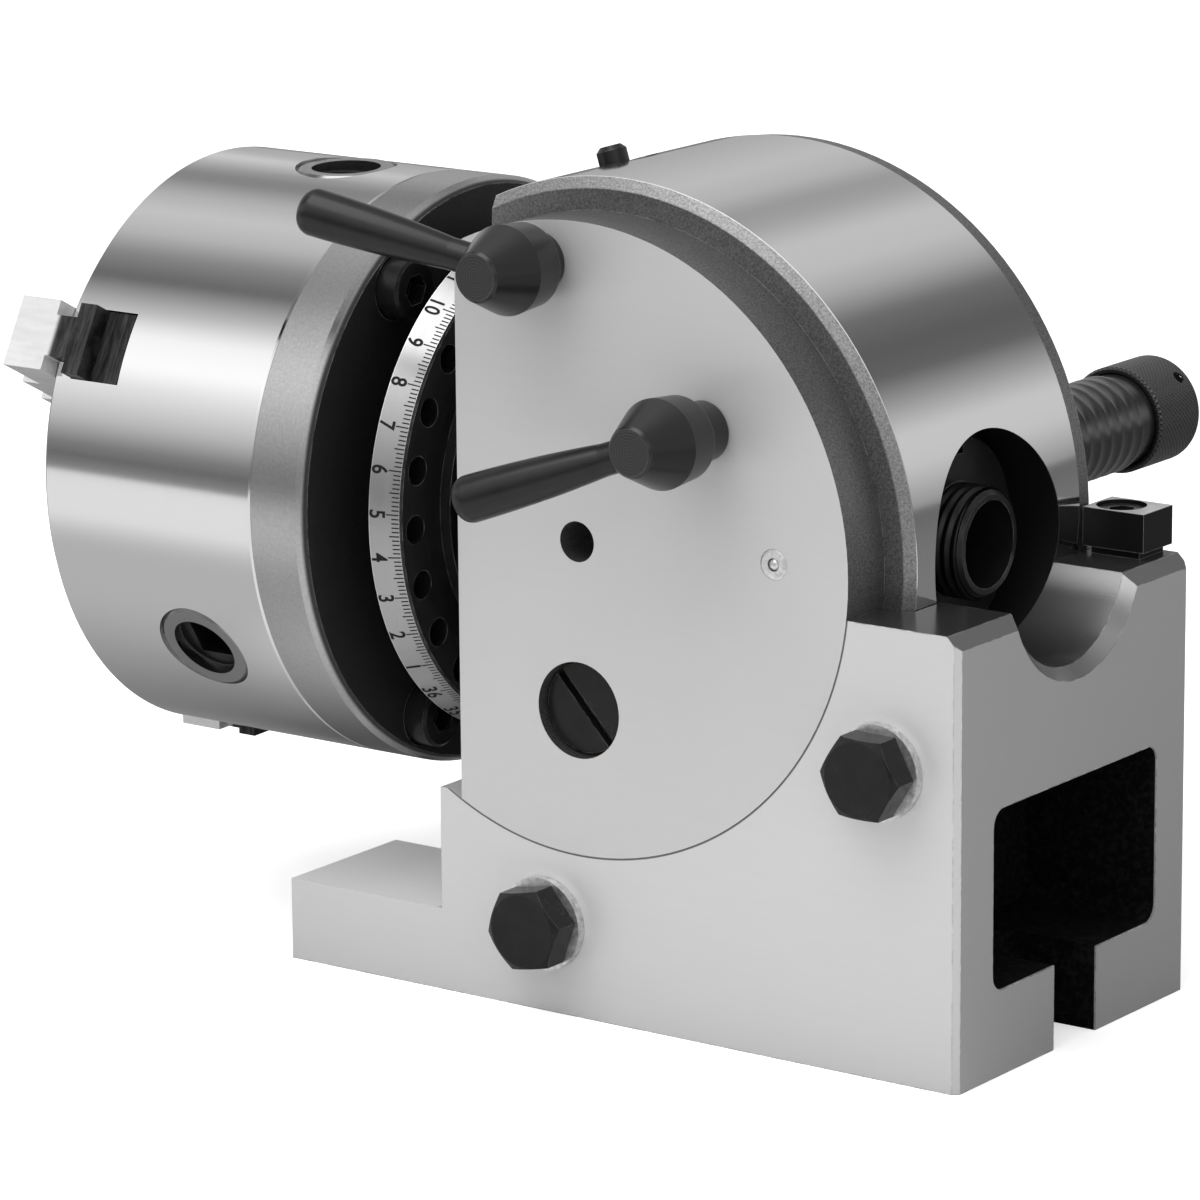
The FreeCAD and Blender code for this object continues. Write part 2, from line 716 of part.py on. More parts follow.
def body_fittings():
    stem = radial_rod("plug_stem", "plug_radius", "drum_radius - plug_depth + 1", "plug_top - 1")
    crown = doc.addObject("Part::Cone", "plug_crown")
    bind(crown, Radius1="plug_radius", Radius2="plug_radius - 1", Height="1")
    place(crown, "-(plug_top - 1) * sin(plug_angle)", "0", "(plug_top - 1) * cos(plug_angle)",
          Rotation(Vector(0, 1, 0), -number("plug_angle")))
    finish("oil_plug", join("oil_plug", stem, crown), z="centre_height")
    cup = turned("oiler_cup", "Y", [
        ("-near_face - 0.15", "oiler_ball_radius"),
        ("-near_face - 0.15", "oiler_radius - 0.3"),
        ("-near_face", "oiler_radius"),
        ("oiler_depth - near_face", "oiler_radius"),
        ("oiler_depth - near_face", "oiler_ball_radius"),
    ])
    finish("oiler_cup", cup, x="oiler_x", z="centre_height + oiler_z")
    ball = doc.addObject("Part::Sphere", "oiler_ball")
    bind(ball, Radius="oiler_ball_radius - fit / 2")
    finish("oiler_ball", ball, x="oiler_x", y="oiler_ball_radius - near_face - 0.5",
           z="centre_height + oiler_z")
    closing = turned("cotter_cover", "Y", [
        ("far_face - cotter_cover_depth", "0"),
        ("far_face - cotter_cover_depth", "cotter_radius"),
        ("far_face - 0.5", "cotter_radius"),
        ("far_face - 0.5", "4"),
        ("far_face - 2", "4"),
        ("far_face - 2", "0"),
    ])
    finish("cotter_cover", closing, x="lock_lever_x", z="centre_height + lock_lever_z")


def bearing_cap():
    """The cover on the front of the body that carries the spindle's front journal."""
    cap = turned("cap_blank", "X", [
        ("-front_plane - cap_thickness", "bush_radius + fit"),
        ("-front_plane - cap_thickness", "cap_radius - 1"),
        ("-front_plane - cap_thickness + 1", "cap_radius"),
        ("-front_plane", "cap_radius"),
        ("-front_plane", "chamber_radius - fit"),
        ("-cap_spigot", "chamber_radius - fit"),
        ("-cap_spigot", "bush_radius + fit"),
    ])
    spot = ("0", "cap_screw_circle")
    way = rod("cap_screw_way", "cap_screw_radius + fit", "-front_plane - cap_thickness - 1",
              "1 - front_plane", "X", spot)
    sink = rod("cap_screw_sink", "cap_screw_head + fit", "-front_plane - cap_thickness - 1",
               "3 - front_plane - cap_thickness", "X", spot)
    ways = copies("cap_screw_cut", join("cap_screw_tool", way, sink), 3, Vector(1, 0, 0), "60")
    finish("bearing_cap", cut("bearing_cap", cap, *ways), z="centre_height")
    head = rod("cap_screw_top", "cap_screw_head", "0.3 - front_plane - cap_thickness",
               "3 - front_plane - cap_thickness", "X", spot)
    shank = rod("cap_screw_shank", "cap_screw_radius", "2.5 - front_plane - cap_thickness",
                "cap_screw_length - front_plane", "X", spot)
    screws = copies("cap_screw", join("cap_screw_blank", head, shank), 3, Vector(1, 0, 0), "60")
    finish("cap_screws", group("cap_screws", *screws), z="centre_height")
    bush = turned("front_bush", "X", [
        ("-front_plane - cap_thickness", "journal_radius + fit"),
        ("-front_plane - cap_thickness", "bush_radius"),
        ("-cap_spigot", "bush_radius"),
        ("-cap_spigot", "journal_radius + fit"),
    ])
    finish("front_bush", bush, z="centre_height")


# The spindle and all that turns with it.

def spindle():
    shape = turned("spindle_blank", "X", [
        ("-nose_end", "taper_mouth"),
        ("-nose_end", "nose_radius - 1"),
        ("1 - nose_end", "nose_radius"),
        ("-nose_shoulder", "nose_radius"),
        ("-nose_shoulder", "plate_seat_radius"),
        ("-flange_front", "plate_seat_radius"),
        ("-flange_front", "flange_radius"),
        ("-flange_back", "flange_radius"),
        ("-flange_back", "journal_radius"),
        ("-journal_back", "journal_radius"),
        ("-journal_back", "wheel_seat_radius"),
        ("journal_back", "wheel_seat_radius"),
        ("journal_back", "tail_radius"),
        ("recess_floor", "tail_radius"),
        ("recess_floor", "tail_thread_radius"),
        ("nut_back", "tail_thread_radius"),
        ("nut_back", "tail_thread_radius - tail_thread_depth"),
        ("tail_end - 0.8", "tail_thread_radius - tail_thread_depth"),
        ("tail_end", "tail_thread_radius - tail_thread_depth - 0.8"),
        ("tail_end", "bore_radius"),
        ("taper_depth - nose_end", "bore_radius"),
        ("taper_depth - nose_end", "taper_end"),
    ])
    groove = block("key_groove", ("-key_length / 2 - fit", "key_length / 2 + fit"),
                   ("-key_width / 2 - fit", "key_width / 2 + fit"),
                   ("wheel_seat_radius - key_width / 2", "journal_radius"))
    finish("spindle", cut("spindle", shape, groove), z="centre_height")
    key = block("wheel_key", ("-key_length / 2", "key_length / 2"),
                ("-key_width / 2", "key_width / 2"),
                ("wheel_seat_radius - key_width / 2", "wheel_seat_radius + key_width / 2 - 0.2"))
    finish("wheel_key", group("wheel_key", key), z="centre_height")


def ring_nut():
    nut = turned("nut_blank", "X", [
        ("nut_front", "tail_thread_radius + fit"),
        ("nut_front", "nut_radius"),
        ("nut_back - 0.8", "nut_radius"),
        ("nut_back", "nut_radius - 0.8"),
        ("nut_back", "tail_thread_radius + fit"),
    ])
    slots = [
        block("nut_slot_level", ("nut_back - 3", "nut_back + 1"), ("-nut_radius - 1", "nut_radius + 1"),
              ("-nut_slot / 2", "nut_slot / 2")),
        block("nut_slot_upright", ("nut_back - 3", "nut_back + 1"), ("-nut_slot / 2", "nut_slot / 2"),
              ("-nut_radius - 1", "nut_radius + 1")),
    ]
    keep = rod("nut_slot_limit", "nut_radius - 4", "nut_front", "nut_back + 2", "X")
    finish("spindle_nut", cut("spindle_nut", nut, cut("nut_slots", join("nut_cross", *slots), keep)),
           z="centre_height")
    washer = turned("thrust_washer", "X", [
        ("recess_floor + fit", "tail_thread_radius + fit"),
        ("recess_floor + fit", "nut_radius - 1"),
        ("nut_front - fit", "nut_radius - 1"),
        ("nut_front - fit", "tail_thread_radius + fit"),
    ])
    finish("thrust_washer", washer, z="centre_height")


def index_plate():
    """The direct-indexing plate: a black disc with twenty-four blind holes in its tail side."""
    disc = turned("index_disc", "X", [
        ("-band_front", "plate_seat_radius + fit"),
        ("-band_front", "band_inner"),
        ("-band_back", "band_inner"),
        ("-band_back", "plate_rim"),
        ("-flange_front", "plate_rim"),
        ("-flange_front", "plate_seat_radius + fit"),
    ])
    hole = rod("index_hole", "hole_radius", "-flange_front - hole_depth", "1 - flange_front", "X",
               ("0", "hole_circle"))
    holes = group("index_holes", *copies("index_hole_at", hole, 24, Vector(1, 0, 0), "hole_phase"))
    spot = ("0", "plate_screw_circle")
    screw_hole = rod("plate_screw_hole", "plate_screw_radius + fit", "-band_front - 1",
                     "1 - flange_front", "X", spot)
    screw_sink = rod("plate_screw_sink", "plate_screw_head + 0.2", "-band_front - 1",
                     "plate_screw_depth + fit - band_front", "X", spot)
    screw_holes = copies("plate_screw_at", join("plate_screw_cut", screw_hole, screw_sink), 3,
                         Vector(1, 0, 0))
    finish("direct_index_plate", cut("direct_index_plate", disc, holes, *screw_holes),
           z="centre_height")
    head = rod("plate_screw_head", "plate_screw_head", "0.4 - band_front",
               "plate_screw_depth - band_front", "X", spot)
    shank = rod("plate_screw_shank", "plate_screw_radius", "1 - band_front", "-flange_front - fit",
                "X", spot)
    screws = copies("index_screw", join("plate_screw", head, shank), 3, Vector(1, 0, 0))
    finish("index_plate_screws", group("index_plate_screws", *screws), z="centre_height")
    band = turned("scale_ring", "X", [
        ("-band_front", "band_inner + fit"),
        ("-band_front", "band_front_radius"),
        ("-band_back", "band_back_radius"),
        ("-band_back", "band_inner + fit"),
    ])
    finish("scale_ring", band, z="centre_height")


# The worm and wheel. The wheel is drawn about the spindle, the rest about the worm's axis.

def worm_wheel():
    """A forty-tooth wheel; each gap is cut along the lead of the worm's single thread."""
    blank = turned("wheel_blank", "X", [
        ("-journal_back + fit", "wheel_seat_radius + fit"),
        ("-journal_back + fit", "wheel_hub_radius"),
        ("-wheel_half_width", "wheel_hub_radius"),
        ("-wheel_half_width", "wheel_teeth * gear_module / 2 + gear_module - 1"),
        ("1 - wheel_half_width", "wheel_teeth * gear_module / 2 + gear_module"),
        ("wheel_half_width - 1", "wheel_teeth * gear_module / 2 + gear_module"),
        ("wheel_half_width", "wheel_teeth * gear_module / 2 + gear_module - 1"),
        ("wheel_half_width", "wheel_hub_radius"),
        ("journal_back - fit", "wheel_hub_radius"),
        ("journal_back - fit", "wheel_seat_radius + fit"),
    ])
    pitch_radius = "wheel_teeth * gear_module / 2"
    root = "-(%s) + 1.25 * gear_module" % pitch_radius
    mouth = "-(%s) - 1.5 * gear_module" % pitch_radius
    gap = slab("wheel_gap", CROSS, [
        ("-gap_width / 2 + 1.25 * gear_module * tan(20)", root),
        ("gap_width / 2 - 1.25 * gear_module * tan(20)", root),
        ("gap_width / 2 + 1.5 * gear_module * tan(20)", mouth),
        ("-gap_width / 2 - 1.5 * gear_module * tan(20)", mouth),
    ], "-wheel_half_width - 1", "wheel_half_width + 1")
    lead_angle = math.degrees(math.atan(number("gear_module / 2 / worm_pitch_radius")))
    gap.Placement = Placement(Vector(), Rotation(Vector(0, 0, 1), lead_angle))
    teeth = int(number("wheel_teeth"))
    gaps = group("wheel_gaps", *copies("wheel_gap_at", gap, teeth, Vector(1, 0, 0)))
    keyway = block("wheel_keyway", ("-journal_back", "journal_back"),
                   ("-key_width / 2 - fit", "key_width / 2 + fit"),
                   ("0", "wheel_seat_radius + key_width / 2"))
    finish("worm_wheel", cut("worm_wheel", blank, gaps, keyway), z="centre_height")


def worm_shaft():
    """The single-thread worm; the thread is a helix swept along the shaft."""
    worm_root = "worm_pitch_radius - 1.25 * gear_module"
    core = turned("worm_core", "Y", [
        ("-worm_plug_back + 0.6", "0"),
        ("-worm_plug_back + 0.6", "near_journal"),
        ("-worm_half_length - 2", "near_journal"),
        ("-worm_half_length - 2", worm_root),
        ("worm_half_length + 4", worm_root),
        ("worm_half_length + 4", "far_journal"),
        ("crank_front", "far_journal"),
        ("crank_front", "crank_journal"),
        ("crank_back", "crank_journal"),
        ("crank_back", "crank_stud"),
        ("crank_back + crank_stud_length", "crank_stud"),
        ("crank_back + crank_stud_length", "0"),
    ])
    path = doc.addObject("Part::Helix", "thread_path")
    bind(path, Pitch="pi * gear_module", Height="2 * worm_half_length", Radius=worm_root)
    section = outline("thread_section", [
        (worm_root + " - 0.2", "-thread_width / 2 - 1.35 * gear_module * tan(20)"),
        (worm_root + " - 0.2", "thread_width / 2 + 1.35 * gear_module * tan(20)"),
        ("worm_pitch_radius + gear_module", "thread_width / 2 - gear_module * tan(20)"),
        ("worm_pitch_radius + gear_module", "-thread_width / 2 + gear_module * tan(20)"),
    ], SIDE)
    thread = doc.addObject("Part::Sweep", "worm_thread")
    thread.Sections = [section]
    thread.Spine = (path, ["Edge1"])
    thread.Solid = True
    thread.Frenet = True
    # The thread's crest stands midway between two wheel teeth above the worm.
    place(thread, "0", "-worm_half_length", "0",
          ALONG["Y"] * Rotation(Vector(0, 0, 1), worm_phase()))
    finish("worm_shaft", join("worm_shaft", core, thread), z="centre_height - worm_drop")


def worm_phase():
    """The turn of the thread that puts a crest in the wheel gap straight above the worm."""
    turns_to_middle = number("worm_half_length / (pi * gear_module)")
    start_to_top = FULL_TURN / 4
    return -start_to_top - FULL_TURN * (turns_to_middle % 1)


def worm_bearings():
    bush = turned("near_bush", "Y", [
        ("-worm_plug_back + 1", "near_journal + fit"),
        ("-worm_plug_back + 1", "near_bush_radius"),
        ("-worm_half_length - 3", "near_bush_radius"),
        ("-worm_half_length - 3", "near_journal + fit"),
    ])
    finish("worm_bush", bush, z="centre_height - worm_drop")
    plug = rod("plug_disc", "worm_plug_radius", "-worm_plug_face", "-worm_plug_back", "Y")
    slot = block("plug_slot", ("-worm_plug_radius - 1", "worm_plug_radius + 1"),
                 ("-worm_plug_face - 1", "2 - worm_plug_face"),
                 ("-worm_plug_slot / 2", "worm_plug_slot / 2"))
    turned_slot = place(group("plug_slot_turned", slot),
                        turn=Rotation(Vector(0, 1, 0), number("worm_plug_turn")))
    finish("worm_plug", cut("worm_plug", plug, turned_slot), z="centre_height - worm_drop")
    blank = turned("sleeve_blank", "Y", [
        ("worm_half_length + 6.5", "far_journal + fit"),
        ("worm_half_length + 6.5", "worm_chamber"),
        ("far_face + fit", "worm_chamber"),
        ("far_face + fit", "sleeve_flange_radius"),
        ("sleeve_flange", "sleeve_flange_radius"),
        ("sleeve_flange", "sleeve_neck_radius"),
        ("disc_back", "sleeve_neck_radius"),
        ("disc_back", "sleeve_nose_radius"),
        ("sleeve_end", "sleeve_nose_radius"),
        ("sleeve_end", "far_journal + fit"),
    ])
    way = rod("sleeve_screw_way", "sleeve_screw_radius + fit", "far_face - 1", "sleeve_flange + 1", "Y",
              ("sleeve_screw_circle", "0"))
    ways = copies("sleeve_screw_cut", way, 3, Vector(0, 1, 0), "30")
    finish("worm_sleeve", cut("worm_sleeve", blank, *ways), z="centre_height - worm_drop")
    shank = rod("sleeve_screw_shank", "sleeve_screw_radius", "far_face - sleeve_screw_length",
                "sleeve_flange + 1", "Y", ("sleeve_screw_circle", "0"))
    head = rod("sleeve_screw_head", "sleeve_screw_head", "sleeve_flange + fit",
               "sleeve_flange + 2 * sleeve_screw_radius", "Y", ("sleeve_screw_circle", "0"))
    screws = copies("sleeve_screw", join("sleeve_screw_blank", shank, head), 3, Vector(0, 1, 0),
                    "30")
    finish("sleeve_screws", group("sleeve_screws", *screws), z="centre_height - worm_drop")


def dividing_disc():
    """The drilled disc on the far side and the two sector arms in front of it."""
    blank = turned("disc_blank", "Y", [
        ("disc_back + fit", "sleeve_nose_radius + fit"),
        ("disc_back + fit", "disc_radius - 0.8"),
        ("disc_back + 0.8", "disc_radius"),
        ("disc_front - 0.8", "disc_radius"),
        ("disc_front", "disc_radius - 0.8"),
        ("disc_front", "sleeve_nose_radius + fit"),
    ])
    holes = []
    for ring, count in enumerate((20, 19, 18, 17, 16, 15)):
        hole = rod("disc_hole_%d" % count, "disc_hole_radius", "disc_front - disc_hole_depth",
                   "disc_front + 1", "Y", ("disc_pitch_radius - %d * disc_row_step" % ring, "0"))
        holes += copies("disc_ring_%d" % count, hole, count, Vector(0, 1, 0), "-crank_angle")
    disc = cut("dividing_disc", blank, group("disc_holes", *holes))
    finish("dividing_disc", disc, z="centre_height - worm_drop")
    arms = {"lower_sector_arm": ("disc_front + 0.1", -75),
            "upper_sector_arm": ("disc_front + 0.2 + arm_thickness", -15)}
    for label, (level, turn) in arms.items():
        hub = rod(label + "_hub", "sleeve_nose_radius + 5", level, level + " + arm_thickness", "Y")
        blade = slab(label + "_blade", SIDE, [
            ("0", "-3"),
            ("disc_radius", "-2"),
            ("disc_radius", "2"),
            ("0", "10"),
        ], level, level + " + arm_thickness")
        hole = rod(label + "_hole", "sleeve_nose_radius + fit", level + " - 1",
                   level + " + arm_thickness + 1", "Y")
        arm = cut(label, join(label + "_blank", hub, blade), hole)
        finish(label, arm, z="centre_height - worm_drop", turn=Rotation(Vector(0, 1, 0), turn))
    ring = turned("sector_ring", "Y", [
        ("sleeve_end - 1.1", "sleeve_nose_radius + fit"),
        ("sleeve_end - 1.1", "sleeve_nose_radius + 2"),
        ("sleeve_end - 0.3", "sleeve_nose_radius + 2"),
        ("sleeve_end - 0.3", "sleeve_nose_radius + fit"),
    ])
    finish("sector_ring", ring, z="centre_height - worm_drop")


# The crank on the worm shaft with its spring plunger.

def crank_spot():
    return ("disc_pitch_radius * cos(crank_angle)", "disc_pitch_radius * sin(crank_angle)")


def crank():
    reach = "disc_pitch_radius"
    levels = ("crank_front + fit", "crank_back")
    bar = slab("crank_bar", SIDE, [
        ("0", "-crank_half_width - 2"),
        (reach, "-crank_half_width"),
        (reach, "crank_half_width"),
        ("0", "crank_half_width + 2"),
    ], *levels)
    hub = rod("crank_hub", "crank_half_width + 2", *levels, "Y")
    end = rod("crank_end", "crank_half_width", *levels, "Y", (reach, "0"))
    arm = join("crank_blank", bar, hub, end)
    hub_hole = rod("crank_hub_hole", "crank_journal + fit", "crank_front - 1", "crank_back + 1",
                   "Y")
    stem_hole = rod("crank_stem_hole", "crank_journal + fit", "crank_front - 1", "crank_back + 1", "Y",
                    (reach, "0"))
    finish("crank_arm", cut("crank_arm", arm, hub_hole, stem_hole), z="centre_height - worm_drop",
           turn=Rotation(Vector(0, 1, 0), -number("crank_angle")))
    washer = turned("crank_washer", "Y", [
        ("crank_back + fit", "crank_stud + 2 * fit"),
        ("crank_back + fit", "crank_half_width"),
        ("crank_back + 1.6", "crank_half_width"),
        ("crank_back + 1.6", "crank_stud + 2 * fit"),
    ])
    finish("crank_washer", washer, z="centre_height - worm_drop")
    nut = doc.addObject("Part::Prism", "crank_nut_hexagon")
    nut.Polygon = 6
    bind(nut, Circumradius="crank_nut_flats / sqrt(3)", Height="crank_nut_height")
    place(nut, "0", "crank_back + 1.65", "0", ALONG["Y"])
    hole = rod("crank_nut_hole", "crank_stud + 2 * fit", "crank_back",
               "crank_back + crank_nut_height + 3", "Y")
    finish("crank_nut", cut("crank_nut", nut, hole), z="centre_height - worm_drop")


def grip():
    """The fixed grip: a stem through the crank and a barrel with five shallow waists."""
    first_waist = "crank_back + 2.5"
    corners = [
        ("crank_front + fit", "plunger_radius + 2 * fit"),
        ("crank_front + fit", "crank_journal"),
        ("crank_back + fit", "crank_journal"),
        ("crank_back + fit", "grip_radius - 1"),
        ("crank_back + 1", "grip_radius"),
    ]
    for waist in range(6):
        start = first_waist + " + %d * grip_pitch" % waist
        corners.append((start, "grip_radius", "-grip_pitch * 1.7"))
        corners.append((start + " + grip_pitch - 0.6", "grip_radius"))
    corners += [
        ("grip_end - 5.6", "grip_radius"),
        ("grip_end - 5.6", "grip_waist"),
        ("grip_end + 3", "grip_waist"),
        ("grip_end + 3", "plunger_radius + 2 * fit"),
        ("grip_end - 6", "plunger_radius + 2 * fit"),
        ("grip_end - 6", "collar_radius + 0.2"),
        ("crank_back + 8", "collar_radius + 0.2"),
        ("crank_back + 8", "plunger_radius + 2 * fit"),
    ]
    x, z = crank_spot()
    finish("crank_grip", turned("crank_grip", "Y", corners), x=x,
           z="centre_height - worm_drop + " + z)


def plunger():
    pin = turned("plunger_pin", "Y", [
        ("plunger_rest", "0"),
        ("plunger_rest", "plunger_tip - 0.4"),
        ("plunger_rest + 0.6", "plunger_tip"),
        ("crank_front + 3", "plunger_tip"),
        ("crank_front + 4", "plunger_radius"),
        ("crank_back + collar_start", "plunger_radius"),
        ("crank_back + collar_start", "collar_radius"),
        ("crank_back + collar_start + 2", "collar_radius"),
        ("crank_back + collar_start + 2", "plunger_radius"),
        ("grip_end + 13", "plunger_radius"),
        ("grip_end + 13", "0"),
    ])
    x, z = crank_spot()
    spot = {"x": x, "z": "centre_height - worm_drop + " + z}
    finish("plunger_pin", pin, **spot)
    knob = turned("knob_blank", "Y", [
        ("grip_end + fit", "grip_waist + 0.3"),
        ("grip_end + fit", "knob_radius - 0.5"),
        ("grip_end + 0.5", "knob_radius"),
        ("knob_end - knob_corner", "knob_radius", "knob_corner"),
        ("knob_end", "knob_radius - knob_corner"),
        ("knob_end", "0"),
        ("grip_end + 13 + fit", "0"),
        ("grip_end + 13 + fit", "plunger_radius + fit"),
        ("grip_end + 9.5", "plunger_radius + fit"),
        ("grip_end + 9.5", "grip_waist + 0.3"),
    ])
    cross_hole = doc.addObject("Part::Cylinder", "knob_cross_hole")
    bind(cross_hole, Radius="1.5", Height="10")
    slant = Rotation(Vector(0, 1, 0), 45)
    place(cross_hole, "6 * sin(45)", "knob_end - 6", "6 * cos(45)", slant)
    finish("plunger_knob", cut("plunger_knob", knob, cross_hole), **spot)
    length = "(grip_end - 6.6 - crank_back - collar_start - 2.6)"
    coil = doc.addObject("Part::Helix", "spring_path")
    bind(coil, Pitch=length + " / spring_turns", Height=length, Radius="spring_radius")
    wire = doc.addObject("Sketcher::SketchObject", "spring_section")
    wire.Placement = Placement(Vector(), SIDE)
    wire.addGeometry(Part.Circle(Vector(number("spring_radius"), 0, 0), Vector(0, 0, 1),
                                 number("spring_wire")), False)
    spring = doc.addObject("Part::Sweep", "plunger_spring")
    spring.Sections = [wire]
    spring.Spine = (coil, ["Edge1"])
    spring.Solid = True
    spring.Frenet = True
    finish("plunger_spring", spring, x, "crank_back + collar_start + 2.6", spot["z"], ALONG["Y"])


# The two levers on the near face: one drives the index pin, one locks the spindle.

def lever(label, neck, rise, x, z):
    """A coned hub on a round neck, and a tapered rod that leans out from its side."""
    lean = Rotation(Vector(0, 0, 1), number("rod_lean"))
    tilt = Rotation(Vector(0, 1, 0), number(rise)) * lean
    seat_y = "-%s - rod_seat" % neck
    length = "%s + hub_length" % neck
    blank = turned(label + "_hub_blank", "Y", [
        ("-0.3", "stud_radius + fit"),
        ("-0.3", "neck_radius"),
        ("-" + neck, "neck_radius"),
        ("-" + neck, "hub_back_radius"),
        ("-%s - hub_edge" % neck, "hub_radius"),
        ("0.6 - (%s)" % length, "hub_end_radius"),
        ("-(%s)" % length, "hub_end_radius - 0.5"),
        ("-(%s)" % length, "0"),
        ("stud_cover - 0.5 - (%s)" % length, "0"),
        ("stud_cover - 0.5 - (%s)" % length, "stud_radius + fit"),
    ])
    profile = [
        ("-rod_start", "0"),
        ("-rod_start", "rod_root_radius"),
        ("-rod_shank", "rod_root_radius", "-rod_bulge"),
        ("rod_tip_length - rod_length", "rod_end_radius", "-rod_tip_arc"),
        ("-rod_length", "rod_end_radius - rod_tip_drop"),
        ("-rod_length", "0"),
    ]
    bar = place(turned(label + "_bar", "X", profile), "0", seat_y, "0", tilt)
    seat = doc.addObject("Part::Cylinder", label + "_rod_seat")
    bind(seat, Radius="rod_root_radius + 2 * fit", Height="rod_shank")
    place(seat, "0", seat_y, "0", tilt * Rotation(Vector(0, 1, 0), -90))
    keep = rod(label + "_core", "stud_radius + fit", "-(%s)" % length, "0", "Y")
    hub = cut(label + "_hub", blank, cut(label + "_seat", seat, keep))
    spot = {"x": x, "y": "-near_face", "z": "centre_height + " + z}
    finish(label + "_hub", hub, **spot)
    finish(label + "_rod", group(label + "_rod", bar), **spot)


def pin_lever():
    lever("pin_lever", "pin_neck", "pin_rod_rise", "pin_lever_x", "pin_lever_z")
    pin_y = "-hole_circle * sin(hole_phase)"
    shaft_end = "near_face + (%s) - index_pin_radius - 0.3" % pin_y
    shaft = turned("lever_shaft", "Y", [
        ("stud_cover - pin_hub_length", "0"),
        ("stud_cover - pin_hub_length", "stud_radius"),
        ("0", "stud_radius"),
        ("0", "shaft_radius"),
        (shaft_end, "shaft_radius"),
        (shaft_end, "0"),
    ])
    finger_spot = ("eccentric_throw * sin(eccentric_rest)", "-eccentric_throw * cos(eccentric_rest)")
    finger = rod("lever_finger", "eccentric_radius", shaft_end + " - 1",
                 shaft_end + " + eccentric_length", "Y", finger_spot)
    finish("pin_lever_shaft", join("pin_lever_shaft", shaft, finger), "pin_lever_x", "-near_face",
           "centre_height + pin_lever_z")
    pin = turned("index_pin_blank", "X", [
        ("-index_pin_rest", "0"),
        ("-index_pin_rest", "index_pin_tip - 0.6"),
        ("1.2 - index_pin_rest", "index_pin_tip"),
        ("1 - front_plane", "index_pin_tip"),
        ("1 - front_plane", "index_pin_radius"),
        ("index_pin_back", "index_pin_radius"),
        ("index_pin_back", "0"),
    ])
    slot_middle = "pin_lever_x + eccentric_throw * sin(eccentric_rest)"
    floor = "pin_lever_z - eccentric_throw - eccentric_radius - 0.4 - hole_circle * cos(hole_phase)"
    slot = block("index_pin_slot",
                 (slot_middle + " - eccentric_radius - 0.28", slot_middle + " + eccentric_radius + 0.28"),
                 ("-index_pin_radius - 1", "index_pin_radius + 1"),
                 (floor, "index_pin_radius + 1"))
    finish("index_pin", cut("index_pin", pin, slot), y=pin_y,
           z="centre_height + hole_circle * cos(hole_phase)")


def lock_lever():
    lever("lock_lever", "lock_neck", "lock_rod_rise", "lock_lever_x", "lock_lever_z")
    stud = rod("lock_stud", "stud_radius", "stud_cover - lock_hub_length",
               "near_face + cotter_end - 1.5", "Y")
    finish("lock_lever_stud", group("lock_lever_stud", stud), "lock_lever_x", "-near_face",
           "centre_height + lock_lever_z")
    spans = {"near_cotter": ("-cotter_end", "-cotter_gap"), "far_cotter": ("cotter_gap", "cotter_end")}
    for label, (start, end) in spans.items():
        blank = rod(label + "_blank", "cotter_radius", start, end, "Y")
        hole = rod(label + "_hole", "stud_radius + fit", "-cotter_end - 1", "cotter_end + 1", "Y")
        flank = rod(label + "_flank", "tail_radius + 2 * fit", "-cotter_end", "cotter_end", "X",
                    ("0", "-lock_lever_z"))
        finish(label, cut(label, blank, hole, flank), x="lock_lever_x",
               z="centre_height + lock_lever_z")


# The three-jaw chuck and its back plate. Radial pieces are drawn pointing up, then turned.

def around(index, phase="0"):
    """The turn about the spindle for one of three; it leans towards the levers from the top."""
    return Rotation(Vector(1, 0, 0), number(phase) + FULL_TURN * index / 3)


def back_plate():
    plate = turned("plate_blank", "X", [
        ("-chuck_joint - register_depth", "nose_radius + fit"),
        ("-chuck_joint - register_depth", "register_radius - fit"),
        ("-chuck_joint", "register_radius - fit"),
        ("-chuck_joint", "chuck_radius"),
        ("-back_face - back_edge", "chuck_radius"),
        ("-back_face", "back_bright_radius"),
        ("-back_face", "plate_waist_radius"),
        ("-nose_shoulder - fit", "plate_waist_radius - 2"),
        ("-nose_shoulder - fit", "nose_radius + fit"),
    ])
    spot = ("0", "screw_circle")
    shank_cut = rod("chuck_screw_way", "screw_radius + 0.3", "-chuck_joint - 1", "-back_face", "X",
                    spot)
    head_cut = rod("chuck_screw_sink", "screw_head_radius + 0.4", "-back_face - screw_sunk - fit",
                   "1 - back_face", "X", spot)
    ways = copies("chuck_screw_cut", join("chuck_screw_tool", shank_cut, head_cut), 3,
                  Vector(1, 0, 0), "screw_phase")
    finish("back_plate", cut("back_plate", plate, *ways), z="centre_height")
    head = turned("chuck_screw_head", "X", [
        ("-back_face - screw_sunk", "0"),
        ("-back_face - screw_sunk", "screw_head_radius"),
        ("screw_proud - back_face - 0.6", "screw_head_radius"),
        ("screw_proud - back_face", "screw_head_radius - 0.6"),
        ("screw_proud - back_face", "0"),
    ])
    place(head, "0", *spot)
    shank = rod("chuck_screw_shank", "screw_radius", "-chuck_joint - screw_length", "-back_face",
                "X", spot)
    socket = doc.addObject("Part::Prism", "chuck_screw_socket")
    socket.Polygon = 6
    bind(socket, Circumradius="screw_socket / sqrt(3)", Height="6")
    place(socket, "screw_proud - back_face - 4", *spot, turn=ALONG["X"])
    screw = cut("chuck_screw", join("chuck_screw_blank", head, shank), socket)
    screws = copies("chuck_screw_at", screw, 3, Vector(1, 0, 0), "screw_phase")
    finish("chuck_screws", group("chuck_screws", *screws), z="centre_height")


